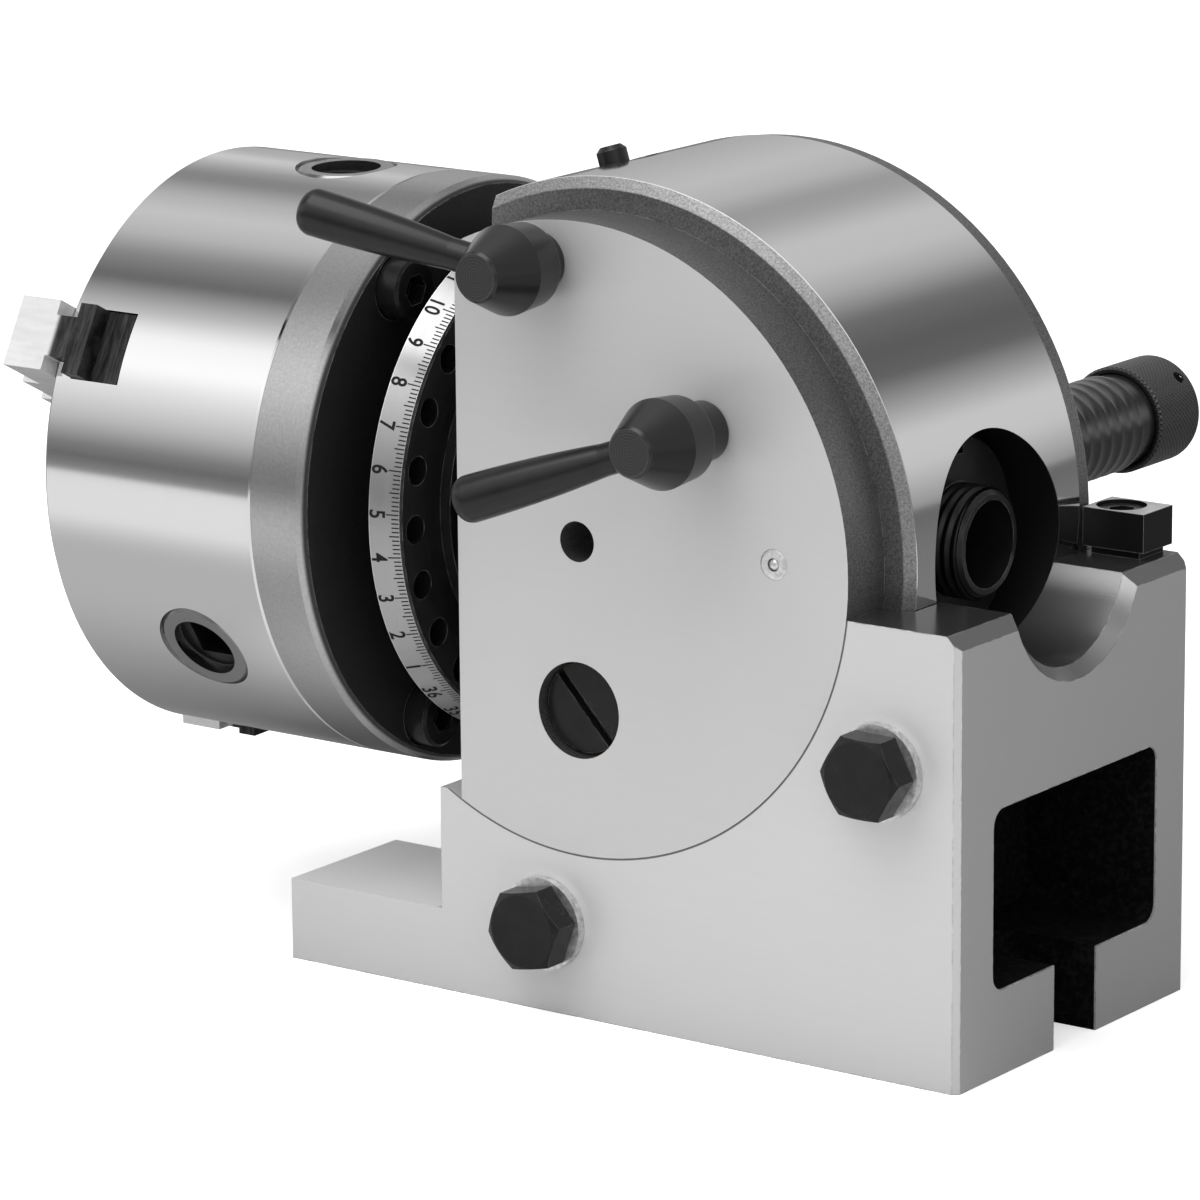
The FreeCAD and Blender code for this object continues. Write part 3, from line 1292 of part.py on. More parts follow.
def chuck_body():
    blank = turned("chuck_blank", "X", [
        ("-chuck_front", "chuck_bore + 1"),
        ("-chuck_front", "chuck_radius - chuck_edge"),
        ("chuck_edge - chuck_front", "chuck_radius"),
        ("-chuck_joint - 0.8", "chuck_radius"),
        ("-chuck_joint - 0.1", "chuck_radius - 0.7"),
        ("-chuck_joint - 0.1", "cavity_radius"),
        ("-cavity_front", "cavity_radius"),
        ("-cavity_front", "hub_tube_radius"),
        ("-chuck_joint - register_depth - 1", "hub_tube_radius"),
        ("-chuck_joint - register_depth - 1", "chuck_bore"),
        ("1 - chuck_front", "chuck_bore"),
    ])
    slot_half = "jaw_half + jaw_play"
    neck_half = "jaw_neck + jaw_play"
    mouth = block("jaw_mouth", ("-chuck_front - 1", "-groove_back"),
                  ("-(%s)" % neck_half, neck_half), ("0", "chuck_radius + 1"))
    guide = block("jaw_guide", ("-groove_back", "-jaw_slot_back"), ("-(%s)" % slot_half, slot_half),
                  ("0", "chuck_radius + 1"))
    tooth_half = "tooth_half_length + jaw_play"
    tooth_way = block("tooth_way", ("-cavity_front", "-scroll_plate"),
                      ("-(%s)" % tooth_half, tooth_half), ("0", "tooth_way_outer"))
    slots = copies("jaw_slot_at", join("jaw_slot", mouth, guide, tooth_way), 3, Vector(1, 0, 0),
                   "pinion_phase + 60")
    well = rod("pinion_well", "pinion_radius + fit", "cavity_radius - 4", "chuck_radius + 1", "Z",
               ("-pinion_axis", "0"))
    wells = copies("pinion_well_at", well, 3, Vector(1, 0, 0), "pinion_phase")
    thread = rod("screw_thread_hole", "screw_radius + fit", "-chuck_joint - screw_length - 1",
                 "1 - chuck_joint", "X", ("0", "screw_circle"))
    threads = copies("screw_thread_at", thread, 3, Vector(1, 0, 0), "screw_phase")
    finish("chuck_body", cut("chuck_body", blank, *slots, *wells, *threads), z="centre_height")


def chuck_cover():
    """The ring that closes the scroll chamber from behind and carries the three pinions."""
    blank = turned("cover_blank", "X", [
        ("-cover_front", "hub_tube_radius + fit"),
        ("-cover_front", "cavity_radius - fit"),
        ("-cover_back", "cavity_radius - fit"),
        ("-cover_back", "hub_tube_radius + fit"),
    ])
    well = rod("cover_well", "pinion_radius + fit", "pinion_root - 2", "cavity_radius + 1", "Z",
               ("-pinion_axis", "0"))
    wells = copies("cover_well_at", well, 3, Vector(1, 0, 0), "pinion_phase")
    thread = rod("cover_screw_way", "screw_radius + 0.4", "-chuck_joint - screw_length - 1",
                 "1 - chuck_joint", "X", ("0", "screw_circle"))
    threads = copies("cover_screw_at", thread, 3, Vector(1, 0, 0), "screw_phase")
    finish("chuck_cover", cut("chuck_cover", blank, *wells, *threads), z="centre_height")


def scroll():
    """The scroll plate: a spiral ridge in front, a cone towards the pinions behind."""
    plate = turned("scroll_plate", "X", [
        ("-scroll_plate", "hub_tube_radius + 0.15"),
        ("-scroll_plate", "scroll_radius"),
        ("-pinion_axis - pinion_radius - 0.5", "scroll_radius"),
        ("-pinion_axis - pinion_radius - 0.4", "pinion_shoulder"),
        ("-pinion_axis - pinion_tip_radius - 0.4", "pinion_root"),
        ("-pinion_axis - pinion_tip_radius - 0.4", "hub_tube_radius + 0.15"),
    ])
    path = doc.addObject("Part::Spiral", "ridge_path")
    bind(path, Growth="scroll_pitch", Radius="spiral_start", Rotations="spiral_turns")
    section = outline("ridge_section", [
        ("spiral_start - ridge_width / 2", "-0.3"),
        ("spiral_start + ridge_width / 2", "-0.3"),
        ("spiral_start + ridge_width / 2", "scroll_top - scroll_plate"),
        ("spiral_start - ridge_width / 2", "scroll_top - scroll_plate"),
    ], SIDE)
    ridge = doc.addObject("Part::Sweep", "scroll_ridge")
    ridge.Sections = [section]
    ridge.Spine = (path, ["Edge%d" % (edge + 1) for edge in range(math.ceil(number("spiral_turns")))])
    ridge.Solid = True
    ridge.Frenet = True
    place(ridge, "-scroll_plate", "0", "0", Rotation(Vector(0, 1, 0), -90))
    finish("chuck_scroll", join("chuck_scroll", plate, ridge), z="centre_height")


def pinions():
    blank = turned("pinion_blank", "X", [
        ("pinion_root", "0"),
        ("pinion_root", "pinion_tip_radius"),
        ("pinion_shoulder", "pinion_radius"),
        ("pinion_face - 0.8", "pinion_radius"),
        ("pinion_face", "pinion_radius - 0.8"),
        ("pinion_face", "socket_ring"),
        ("pinion_face - 3", "socket_ring"),
        ("pinion_face - 3", "0"),
    ])
    socket = block("pinion_socket", ("pinion_face - socket_depth", "pinion_face"),
                   ("-socket_half", "socket_half"), ("-socket_half", "socket_half"))
    upright = place(cut("pinion_solid", blank, socket), "-pinion_axis", "0", "0",
                    Rotation(Vector(0, 1, 0), -90))
    for index in range(3):
        finish("chuck_pinion_%d" % (index + 1), group("pinion_%d" % index, upright),
               z="centre_height", turn=around(index, "pinion_phase"))


def jaws():
    """A one-piece jaw: guide with side grooves, three steps in front, arc teeth behind."""
    step = "jaw_step"
    high = "jaw_step_height"
    profile = slab("jaw_profile", SIDE, [
        ("-jaw_back", "jaw_inner"),
        ("-jaw_back", "jaw_cut_outer"),
        ("-jaw_cut_back", "jaw_cut_outer"),
        ("-jaw_cut_back", "jaw_outer"),
        ("-jaw_top", "jaw_outer"),
        ("-jaw_top", "jaw_outer - jaw_step"),
        ("-jaw_top - %s" % high, "jaw_outer - jaw_step"),
        ("-jaw_top - %s" % high, "jaw_outer - 2 * %s" % step),
        ("-jaw_top - 2 * %s" % high, "jaw_outer - 2 * %s" % step),
        ("-jaw_top - 2 * %s" % high, "jaw_inner"),
    ], "-jaw_half", "jaw_half")
    wedge = slab("jaw_wedge", CROSS, [
        ("0", "jaw_inner"),
        ("-jaw_half - 1", "jaw_inner + (jaw_half + 1) / tan(60)"),
        ("-jaw_half - 1", "jaw_outer + 1"),
        ("jaw_half + 1", "jaw_outer + 1"),
        ("jaw_half + 1", "jaw_inner + (jaw_half + 1) / tan(60)"),
    ], "-jaw_top - 3 * jaw_step_height", "-scroll_plate")
    grooves = []
    flanks = {"left": ("-jaw_half - 1", "-jaw_neck"), "right": ("jaw_neck", "jaw_half + 1")}
    for side, limits in flanks.items():
        grooves.append(block("jaw_groove_" + side, ("-chuck_front - 0.15", "-groove_back + 0.15"),
                             limits, ("0", "jaw_outer + 1")))
    guide = cut("jaw_guide_part", shared("jaw_blank", profile, wedge), *grooves)
    teeth = []
    for index in range(3):
        middle = "first_tooth + %d * scroll_pitch" % index
        ring = turned("jaw_ring_%d" % index, "X", [
            ("-jaw_back - 0.5", "%s - tooth_width / 2" % middle),
            ("-jaw_back - 0.5", "%s + tooth_width / 2" % middle),
            ("-scroll_plate - 0.4", "%s + tooth_width / 2" % middle),
            ("-scroll_plate - 0.4", "%s - tooth_width / 2" % middle),
        ])
        window = block("jaw_window_%d" % index, ("-jaw_back - 1", "-scroll_plate"),
                       ("-tooth_half_length", "tooth_half_length"), ("0", "chuck_radius"))
        teeth.append(shared("jaw_tooth_%d" % index, ring, window))
    for index in range(3):
        shift = jaw_shift(index)
        moved = []
        for number_in_row, tooth in enumerate(teeth):
            link = doc.addObject("Part::Compound", "jaw_%d_tooth_%d" % (index, number_in_row))
            link.Links = [tooth]
            link.Placement = Placement(Vector(0, 0, shift), Rotation())
            moved.append(link)
        finish("chuck_jaw_%d" % (index + 1), join("jaw_%d" % index, guide, *moved),
               z="centre_height", turn=around(index, "pinion_phase + 60"))


def jaw_shift(index):
    """How far out a jaw's teeth sit so that they fall midway between two turns of the spiral."""
    pitch = number("scroll_pitch")
    # The spiral starts at the top and grows away from the levers.
    angle = -number("pinion_phase") - 60 - FULL_TURN * index / 3
    ridge_at_jaw = number("spiral_start") + pitch * (angle % FULL_TURN) / FULL_TURN
    shift = (ridge_at_jaw + pitch / 2 - number("first_tooth")) % pitch
    return shift - pitch if shift > pitch / 2 else shift


base_casting()
clamp_bolts()
zero_block()
rotary_body()
body_fittings()
bearing_cap()
spindle()
ring_nut()
index_plate()
worm_wheel()
worm_shaft()
worm_bearings()
dividing_disc()
crank()
grip()
plunger()
pin_lever()
lock_lever()
back_plate()
chuck_body()
chuck_cover()
scroll()
pinions()
jaws()

doc.recompute()

for thing in doc.Objects:
    if "Invalid" in thing.State or "Error" in thing.State:
        raise RuntimeError("%s (%s) is %s" % (thing.Name, thing.Label, thing.State))
for label, thing in parts.items():
    if thing.Shape.isNull() or not thing.Shape.isValid() or not thing.Shape.Solids:
        raise RuntimeError(label + " is not a good solid")

os.makedirs("parts", exist_ok=True)
for label, thing in parts.items():
    thing.Shape.exportStep(os.path.join("parts", label + ".step"))
print("wrote", len(parts), "parts")
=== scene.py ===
import math

import bpy
from mathutils import Matrix, Vector

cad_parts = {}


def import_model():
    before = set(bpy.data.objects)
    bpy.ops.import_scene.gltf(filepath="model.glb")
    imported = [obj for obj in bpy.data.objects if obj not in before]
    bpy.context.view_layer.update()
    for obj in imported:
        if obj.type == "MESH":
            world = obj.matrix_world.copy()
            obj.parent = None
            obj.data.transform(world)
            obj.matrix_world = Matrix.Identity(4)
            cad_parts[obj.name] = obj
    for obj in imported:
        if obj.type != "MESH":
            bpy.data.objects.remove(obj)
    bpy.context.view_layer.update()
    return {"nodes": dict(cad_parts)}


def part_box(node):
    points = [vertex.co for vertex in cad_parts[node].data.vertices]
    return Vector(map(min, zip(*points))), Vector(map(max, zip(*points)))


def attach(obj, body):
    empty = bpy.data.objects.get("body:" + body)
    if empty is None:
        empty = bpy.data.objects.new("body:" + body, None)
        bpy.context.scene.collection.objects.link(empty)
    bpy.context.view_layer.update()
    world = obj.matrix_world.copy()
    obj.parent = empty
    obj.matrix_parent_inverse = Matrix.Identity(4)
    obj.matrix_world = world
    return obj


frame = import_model()
nodes = frame["nodes"]

MM = 0.001


def middle(node):
    """The middle of a node's box."""
    low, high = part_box(node)
    return (Vector(low) + Vector(high)) / 2


def reach(node):
    """The length of a node's box along each axis."""
    low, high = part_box(node)
    return Vector(high) - Vector(low)


# Places taken from the frame

SPINDLE = middle("scale_ring")
NEAR_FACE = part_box("rotary_body")[0][1]
CHUCK_RADIUS = reach("chuck_body").y / 2
PIN_HUB = middle("pin_lever_hub")
LOCK_HUB = middle("lock_lever_hub")
KNOB = middle("plunger_knob")
KNOB_RADIUS = reach("plunger_knob").x / 2
CHUCK_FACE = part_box("chuck_body")[0][0]
BAND_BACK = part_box("scale_ring")[1][0]
BAND_WIDTH = reach("scale_ring").x
BAND_RADIUS = reach("scale_ring").y / 2
NUT_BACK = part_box("spindle_nut")[1][0]
TAIL_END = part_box("spindle")[1][0]

# Where one finish of the base casting gives way to the next

FOOT_BACK = -37 * MM
POLISH_HEIGHT = 59 * MM
TOP_EDGE = 90.5 * MM
BACK_EDGE = 88 * MM
BOTTOM_EDGE = 1.2 * MM
TUNNEL_HALF = 31.3 * MM
TUNNEL_FLOOR = 17.6 * MM
TUNNEL_ROOF = 55.3 * MM
SLOT_HALF = 8.2 * MM
SLOT_FRONT = 60.5 * MM
SLOT_TOP = 19 * MM
RAW_FRONT = -60 * MM
RAW_BACK = 90.7 * MM

# Where one finish of the rotary body gives way to the next

SEAM_RADIUS = 65.3 * MM
SEAM_WIDTH = 0.4 * MM
DRUM_RADIUS = 72.1 * MM
DRUM_NEAR = -29.7 * MM
DRUM_FAR = 31.05 * MM
BORE_RADIUS = 23.5 * MM

# Sizes of the fine detail

BAND_TAPER = 2.1 * MM
SCALE_START = 138
INK_LIFT = 0.03 * MM
MARK_REAR = 0.05 * MM
MARK_WIDTH = 0.27 * MM
MARK_LENGTHS = (1.55 * MM, 2.1 * MM, 2.65 * MM)
NUMBER_HEIGHT = 3.1 * MM
NUMBER_FOOT = 5.95 * MM
NUMBER_NARROWING = 0.9
NUMBER_WEIGHT = 0.02
NUMBER_SPACING = 1.15
CAPITAL_SHARE = 0.7
TAIL_CORE = 10.95 * MM
TAIL_THREAD = 11.75 * MM
THREAD_PITCH = 2.2 * MM
THREAD_END = 0.8 * MM
RING_PITCH = 0.6 * MM
KNURL_TEETH = 30
KNURL_DEPTH = 0.25 * MM


# Node graphs

def full_colour(shade):
    """Red, green, blue and opacity, from a grey or a colour."""
    return (*shade, 1) if isinstance(shade, tuple) else (shade, shade, shade, 1)


class Graph:
    """A node tree with short calls for the nodes that it uses."""

    def __init__(self, tree, output):
        self.tree = tree
        self.coordinates = self.tree.nodes.new("ShaderNodeTexCoord")
        self.place = self.coordinates.outputs[output]
        split = self.tree.nodes.new("ShaderNodeSeparateXYZ")
        self.link(self.place, split.inputs[0])
        self.x, self.y, self.z = split.outputs

    def link(self, source, target):
        self.tree.links.new(source, target)

    def feed(self, socket, value):
        if isinstance(value, bpy.types.NodeSocket):
            self.link(value, socket)
        else:
            socket.default_value = value

    def calc(self, operation, first, second=0.0, third=0.0):
        node = self.tree.nodes.new("ShaderNodeMath")
        node.operation = operation
        for socket, value in zip(node.inputs, (first, second, third)):
            self.feed(socket, value)
        return node.outputs[0]

    def distance(self, first, second):
        """How far a point is from an axis, given its two offsets across it."""
        square = self.calc("MULTIPLY_ADD", first, first, self.calc("MULTIPLY", second, second))
        return self.calc("SQRT", square)

    def step(self, value, low, high):
        """0 below low and 1 above high."""
        node = self.tree.nodes.new("ShaderNodeMapRange")
        node.interpolation_type = "SMOOTHSTEP"
        self.feed(node.inputs["Value"], value)
        node.inputs["From Min"].default_value = low
        node.inputs["From Max"].default_value = high
        return node.outputs["Result"]

    def both(self, first, second):
        return self.calc("MULTIPLY", first, second)

    def either(self, first, second):
        return self.calc("MAXIMUM", first, second)

    def outside(self, mask):
        return self.calc("SUBTRACT", 1.0, mask)

    def between(self, value, low, high, soft):
        return self.both(self.step(value, low - soft, low + soft),
                         self.outside(self.step(value, high - soft, high + soft)))

    def scaled(self, x, y, z):
        node = self.tree.nodes.new("ShaderNodeMapping")
        self.link(self.place, node.inputs["Vector"])
        node.inputs["Scale"].default_value = (x, y, z)
        return node.outputs["Vector"]

    def noise(self, scale, detail, roughness=0.5, place=None):
        node = self.tree.nodes.new("ShaderNodeTexNoise")
        self.link(place or self.place, node.inputs["Vector"])
        node.inputs["Scale"].default_value = scale
        node.inputs["Detail"].default_value = detail
        node.inputs["Roughness"].default_value = roughness
        return node.outputs["Fac"]

    def ramp(self, value, *stops):
        """Stops are (position, grey or colour)."""
        node = self.tree.nodes.new("ShaderNodeValToRGB")
        self.link(value, node.inputs["Fac"])
        elements = node.color_ramp.elements
        while len(elements) < len(stops):
            elements.new(0.5)
        for element, (position, shade) in zip(elements, stops):
            element.position = position
            element.color = full_colour(shade)
        return node.outputs["Color"]

    def mix(self, amount, first, second):
        """A colour between first and second. The node's colour sockets are its inputs 6 and 7."""
        node = self.tree.nodes.new("ShaderNodeMix")
        node.data_type = "RGBA"
        self.feed(node.inputs["Factor"], amount)
        for socket, value in ((node.inputs[6], first), (node.inputs[7], second)):
            self.feed(socket, full_colour(value) if isinstance(value, float) else value)
        return node.outputs[2]

    def blend(self, amount, first, second):
        """A number between first and second. The node's number sockets are its inputs 2 and 3."""
        node = self.tree.nodes.new("ShaderNodeMix")
        self.feed(node.inputs["Factor"], amount)
        self.feed(node.inputs[2], first)
        self.feed(node.inputs[3], second)
        return node.outputs[0]

    def facing(self, axis):
        """The part of the surface's own direction that lies along an axis of the object."""
        split = self.tree.nodes.new("ShaderNodeSeparateXYZ")
        self.link(self.coordinates.outputs["Normal"], split.inputs[0])
        return split.outputs["XYZ".index(axis)]

    def edges(self, radius=0.3 * MM, low=0.05, high=0.3):
        """1 close to a sharp edge and 0 on flat ground."""
        bevel = self.tree.nodes.new("ShaderNodeBevel")
        bevel.samples = 4
        bevel.inputs["Radius"].default_value = radius
        geometry = self.tree.nodes.new("ShaderNodeNewGeometry")
        product = self.tree.nodes.new("ShaderNodeVectorMath")
        product.operation = "DOT_PRODUCT"
        self.link(bevel.outputs["Normal"], product.inputs[0])
        self.link(geometry.outputs["Normal"], product.inputs[1])
        bend = self.calc("SUBTRACT", 1.0, product.outputs["Value"])
        return self.step(bend, low, high)


class Finish(Graph):
    """One procedural material, drawn in the object's own coordinates."""

    def __init__(self, name, colour, metal, roughness):
        self.material = bpy.data.materials.new(name)
        self.material.use_nodes = True
        super().__init__(self.material.node_tree, "Object")
        self.shader = self.tree.nodes["Principled BSDF"]
        self.shader.inputs["Base Color"].default_value = full_colour(colour)
        self.shader.inputs["Metallic"].default_value = metal
        self.shader.inputs["Roughness"].default_value = roughness

    def colour(self, value):
        self.feed(self.shader.inputs["Base Color"], value)

    def rough(self, value):
        self.feed(self.shader.inputs["Roughness"], value)

    def metal(self, value):
        self.feed(self.shader.inputs["Metallic"], value)

    def gloss(self, value):
        self.feed(self.shader.inputs["Specular IOR Level"], value)

    def from_spindle(self):
        """How far a point is from the spindle's axis."""
        return self.distance(self.y, self.calc("SUBTRACT", self.z, SPINDLE.z))

    def from_swivel(self):
        """How far a point is from the axis that the body tilts about."""
        return self.distance(self.x, self.calc("SUBTRACT", self.z, SPINDLE.z))

    def bump(self, height, strength, distance):
        node = self.tree.nodes.new("ShaderNodeBump")
        node.inputs["Strength"].default_value = strength
        node.inputs["Distance"].default_value = distance
        self.link(height, node.inputs["Height"])
        self.link(node.outputs["Normal"], self.shader.inputs["Normal"])


# Finishes: each gives one procedural material

def base_iron():
    """The base: flat ground faces with painted light and shade by facing, polished tops and saddle
    painted darker, and raw casting inside painted near-black as painted shade.
    """
    finish = Finish("base_iron", 0.7, 0.3, 0.45)
    end = finish.step(finish.facing("X"), 0.8, 0.95)
    near_side = finish.step(finish.calc("MULTIPLY", finish.facing("Y"), -1.0), 0.8, 0.95)
    high = finish.step(finish.z, POLISH_HEIGHT - MM, POLISH_HEIGHT + MM)
    polished = finish.both(high, finish.outside(finish.either(end, near_side)))
    raw_and_shaded = raw_inside(finish)
    # Face tone with painted light and shade by facing.
    ground = ground_shade(finish, end, polished)
    # Near-black raw casting: the iron's grain, with painted shade in the tunnel and slot.
    cast = finish.ramp(finish.noise(700, 5, 0.7), (0.45, 0.002), (0.8, 0.02))
    finish.colour(finish.mix(raw_and_shaded, base_wear(finish, ground), cast))
    finish.metal(finish.blend(raw_and_shaded, finish.blend(polished, 0.3, 0.7), 0.0))
    finish.rough(finish.blend(raw_and_shaded, finish.blend(polished, 0.45, 0.24), 0.8))
    finish.gloss(finish.blend(raw_and_shaded, 0.5, 0.1))
    return finish.material


def ground_shade(finish, end, polished):
    """How bright the base's machined faces are, with painted light and shade by which way each faces:
    a painted darker end, a painted brighter foot top and painted darker polished tops.
    """
    side_shade = 0.65
    # Painted shade: the end face is painted darker than the side.
    painted_end_shade = 0.49
    # Painted light: the foot's top, which the chuck shades, is painted bright.
    painted_foot_light = 0.95
    marks = finish.noise(900, 4, 0.6, finish.scaled(0.08, 1, 1))
    foot = finish.both(finish.step(finish.facing("Z"), 0.8, 0.95),
                       finish.calc("LESS_THAN", finish.x, FOOT_BACK))
    shade = finish.blend(foot, finish.blend(end, side_shade, painted_end_shade), painted_foot_light)
    # Painted reflection: the upward faces of the polished tops are painted darker.
    painted_dark_tops = finish.ramp(finish.facing("Z"), (0.2, 0.6), (0.6, 0.3), (1.0, 0.08))
    shade = finish.blend(polished, shade, painted_dark_tops)
    return finish.calc("MULTIPLY", shade, finish.blend(marks, 0.98, 1.02))


def base_wear(finish, ground):
    """Worn outer edges, and painted shade in the seam round the body's near face."""
    at_back = finish.step(finish.x, BACK_EDGE - 0.5 * MM, BACK_EDGE + 0.5 * MM)
    at_top = finish.step(finish.z, TOP_EDGE - 0.5 * MM, TOP_EDGE + 0.5 * MM)
    at_bottom = finish.calc("LESS_THAN", finish.z, BOTTOM_EDGE)
    outer = finish.either(at_back, finish.either(at_top, at_bottom))
    worn = finish.both(finish.edges(0.5 * MM, 0.03, 0.15), outer)
    patches = finish.ramp(finish.noise(350, 4, 0.7), (0.42, 0.08), (0.62, 0.8))
    # Painted shade: a dark ring on the near face where the body meets its bore.
    painted_seam_shade = finish.between(finish.from_swivel(), SEAM_RADIUS, SEAM_RADIUS + SEAM_WIDTH, 0.1 * MM)
    painted_seam_shade = finish.both(painted_seam_shade, finish.calc("LESS_THAN", finish.facing("Y"), -0.7))
    return finish.mix(painted_seam_shade, finish.mix(worn, ground, patches), 0.12)


def raw_inside(finish):
    """1 in the tunnel and the back slot, where the base is left as it was cast and its colour is
    painted near-black as painted shade.
    """
    in_tunnel = finish.both(finish.between(finish.y, -TUNNEL_HALF, TUNNEL_HALF, 0.1 * MM),
                            finish.between(finish.z, TUNNEL_FLOOR, TUNNEL_ROOF, 0.1 * MM))
    in_slot = finish.both(finish.between(finish.y, -SLOT_HALF, SLOT_HALF, 0.05 * MM),
                          finish.step(finish.x, SLOT_FRONT - 0.5 * MM, SLOT_FRONT + 0.5 * MM))
    above_slot = finish.step(finish.z, SLOT_TOP - MM, SLOT_TOP + MM)
    in_slot = finish.both(in_slot, finish.outside(above_slot))
    return finish.both(finish.either(in_tunnel, in_slot),
                       finish.between(finish.x, RAW_FRONT, RAW_BACK, 0.15 * MM))


def ground_cylinder(name="ground_cylinder", shade=0.7, roughness=0.11):
    """Cylindrically ground steel: smooth along the axis, so the studio shows as long bands."""
    finish = Finish(name, shade, 1.0, roughness)
    marks = finish.noise(900, 4, 0.6, finish.scaled(1, 0.1, 0.1))
    finish.rough(finish.blend(marks, roughness * 0.8, roughness * 1.2))
    worn = finish.edges()
    finish.colour(finish.mix(worn, shade, 0.9))
    return finish.material


def drum_iron():
    """The rotary body: each of its surfaces has its own finish, told apart by place; its bores are
    painted near-black as painted shade.
    """
    finish = Finish("drum_iron", 0.7, 0.95, 0.4)
    radius = finish.from_swivel()
    height = finish.calc("SUBTRACT", finish.z, SPINDLE.z)
    on_band = finish.both(finish.step(radius, DRUM_RADIUS - 0.2 * MM, DRUM_RADIUS - 0.1 * MM),
                          finish.between(finish.y, DRUM_NEAR, DRUM_FAR, 0.05 * MM))
    on_face = finish.both(finish.calc("LESS_THAN", finish.y, NEAR_FACE + 0.1 * MM),
                          finish.calc("LESS_THAN", finish.facing("Y"), -0.7))
    on_flat = finish.calc("LESS_THAN", finish.facing("X"), -0.95)
    ground = finish.either(on_band, finish.either(on_face, on_flat))
    # Painted shade: the bores inside the body are painted near-black.
    bores_with_painted_shade = finish.calc("LESS_THAN", finish.distance(finish.y, height), BORE_RADIUS)
    bores_with_painted_shade = finish.both(bores_with_painted_shade, finish.outside(on_band))
    marks = finish.noise(900, 4, 0.6, finish.scaled(0.1, 1, 1))
    face_shade = finish.blend(marks, 0.59, 0.61)
    cast = finish.mix(bores_with_painted_shade, drum_cast(finish, radius), 0.006)
    finish.colour(finish.mix(ground, cast, finish.blend(on_band, face_shade, 0.7)))
    finish.rough(finish.blend(ground, 0.42, finish.blend(on_band, 0.45, 0.11)))
    finish.metal(finish.blend(ground, finish.blend(bores_with_painted_shade, 0.8, 0.0), finish.blend(on_band, 0.3, 1.0)))
    return finish.material


def drum_cast(finish, radius):
    """The grainy iron beside the drum's ground band, brighter on its chamfer and corners."""
    grain = finish.noise(2400, 4, 0.6)
    chamfer = finish.both(
        finish.between(finish.y, DRUM_NEAR - 1.3 * MM, DRUM_NEAR + 0.1 * MM, 0.05 * MM),
        finish.step(radius, DRUM_RADIUS - 2.6 * MM, DRUM_RADIUS - 2.4 * MM))
    cast = finish.mix(chamfer, finish.ramp(grain, (0.35, 0.12), (0.65, 0.24)),
                      finish.ramp(grain, (0.35, 0.18), (0.65, 0.36)))
    corner = finish.both(finish.edges(0.3 * MM, 0.03, 0.2),
                         finish.step(finish.noise(500, 3), 0.35, 0.6))
    return finish.mix(corner, cast, 0.6)


def black_oxide(name="black_oxide", roughness=0.3, gloss=0.35, worn_shade=0.3):
    """Blackened steel with worn, brighter edges."""
    shade = 0.01
    finish = Finish(name, shade, 0.0, roughness)
    finish.gloss(gloss)
    mottle = finish.noise(180, 4, 0.6)
    worn = finish.edges()
    worn = finish.both(worn, finish.step(finish.noise(400, 3), 0.35, 0.6))
    base = finish.ramp(mottle, (0.3, shade * 0.7), (0.75, shade * 1.3))
    finish.colour(finish.mix(worn, base, worn_shade))
    finish.rough(finish.blend(mottle, roughness - 0.04, roughness + 0.06))
    return finish.material


def turned_oxide(name, hub):
    """A lever's hub: blackened, with the rings that turning left on its end."""
    shade = 0.01
    finish = Finish(name, shade, 0.0, 0.26)
    finish.gloss(0.45)
    radius = finish.distance(finish.calc("SUBTRACT", finish.x, hub.x),
                             finish.calc("SUBTRACT", finish.z, hub.z))
    on_end = finish.calc("LESS_THAN", finish.facing("Y"), -0.97)
    rings = finish.calc("SINE", finish.calc("MULTIPLY", radius, 2 * math.pi / RING_PITCH))
    marks = finish.both(on_end, finish.calc("MULTIPLY_ADD", rings, 0.5, 0.5))
    worn = finish.edges()
    base = finish.mix(marks, shade, shade * 3)
    finish.colour(finish.mix(worn, base, 0.25))
    finish.rough(finish.blend(on_end, 0.3, 0.45))
    finish.bump(marks, 0.5, 0.06 * MM)
    return finish.material


def block_steel():
    """The zero block: near-black sides under a brighter top."""
    finish = Finish("block_steel", 0.01, 0.0, 0.4)
    on_top = finish.step(finish.facing("Z"), 0.8, 0.95)
    patches = finish.noise(150, 4, 0.6)
    # The top is painted brighter than the near-black sides.
    top = finish.ramp(patches, (0.3, 0.28), (0.7, 0.5))
    worn = finish.edges()
    finish.colour(finish.mix(worn, finish.mix(on_top, 0.006, top), 0.3))
    finish.gloss(finish.blend(on_top, 0.2, 0.6))
    return finish.material


def zinc():
    """Zinc plate, bright and a little mottled."""
    finish = Finish("zinc_plate", (0.75, 0.75, 0.74), 1.0, 0.4)
    mottle = finish.noise(700, 4, 0.7)
    finish.colour(finish.ramp(mottle, (0.3, 0.45), (0.7, 0.9)))
    finish.rough(finish.blend(mottle, 0.3, 0.55))
    finish.bump(mottle, 0.15, 0.1 * MM)
    return finish.material


def bronze():
    """Turned bronze, for the bushes and the worm wheel."""
    finish = Finish("turned_bronze", (0.6, 0.4, 0.2), 1.0, 0.3)
    mottle = finish.noise(120, 3)
    finish.colour(finish.ramp(mottle, (0.3, (0.5, 0.32, 0.15)), (0.7, (0.68, 0.47, 0.25))))
    finish.rough(finish.blend(mottle, 0.25, 0.4))
    return finish.material


def grey_iron():
    """Plain machined iron, matte and a little grainy."""
    finish = Finish("grey_iron", 0.06, 0.6, 0.5)
    grain = finish.noise(900, 4, 0.7)
    finish.colour(finish.ramp(grain, (0.3, 0.06), (0.7, 0.12)))
    finish.bump(grain, 0.1, 0.1 * MM)
    return finish.material


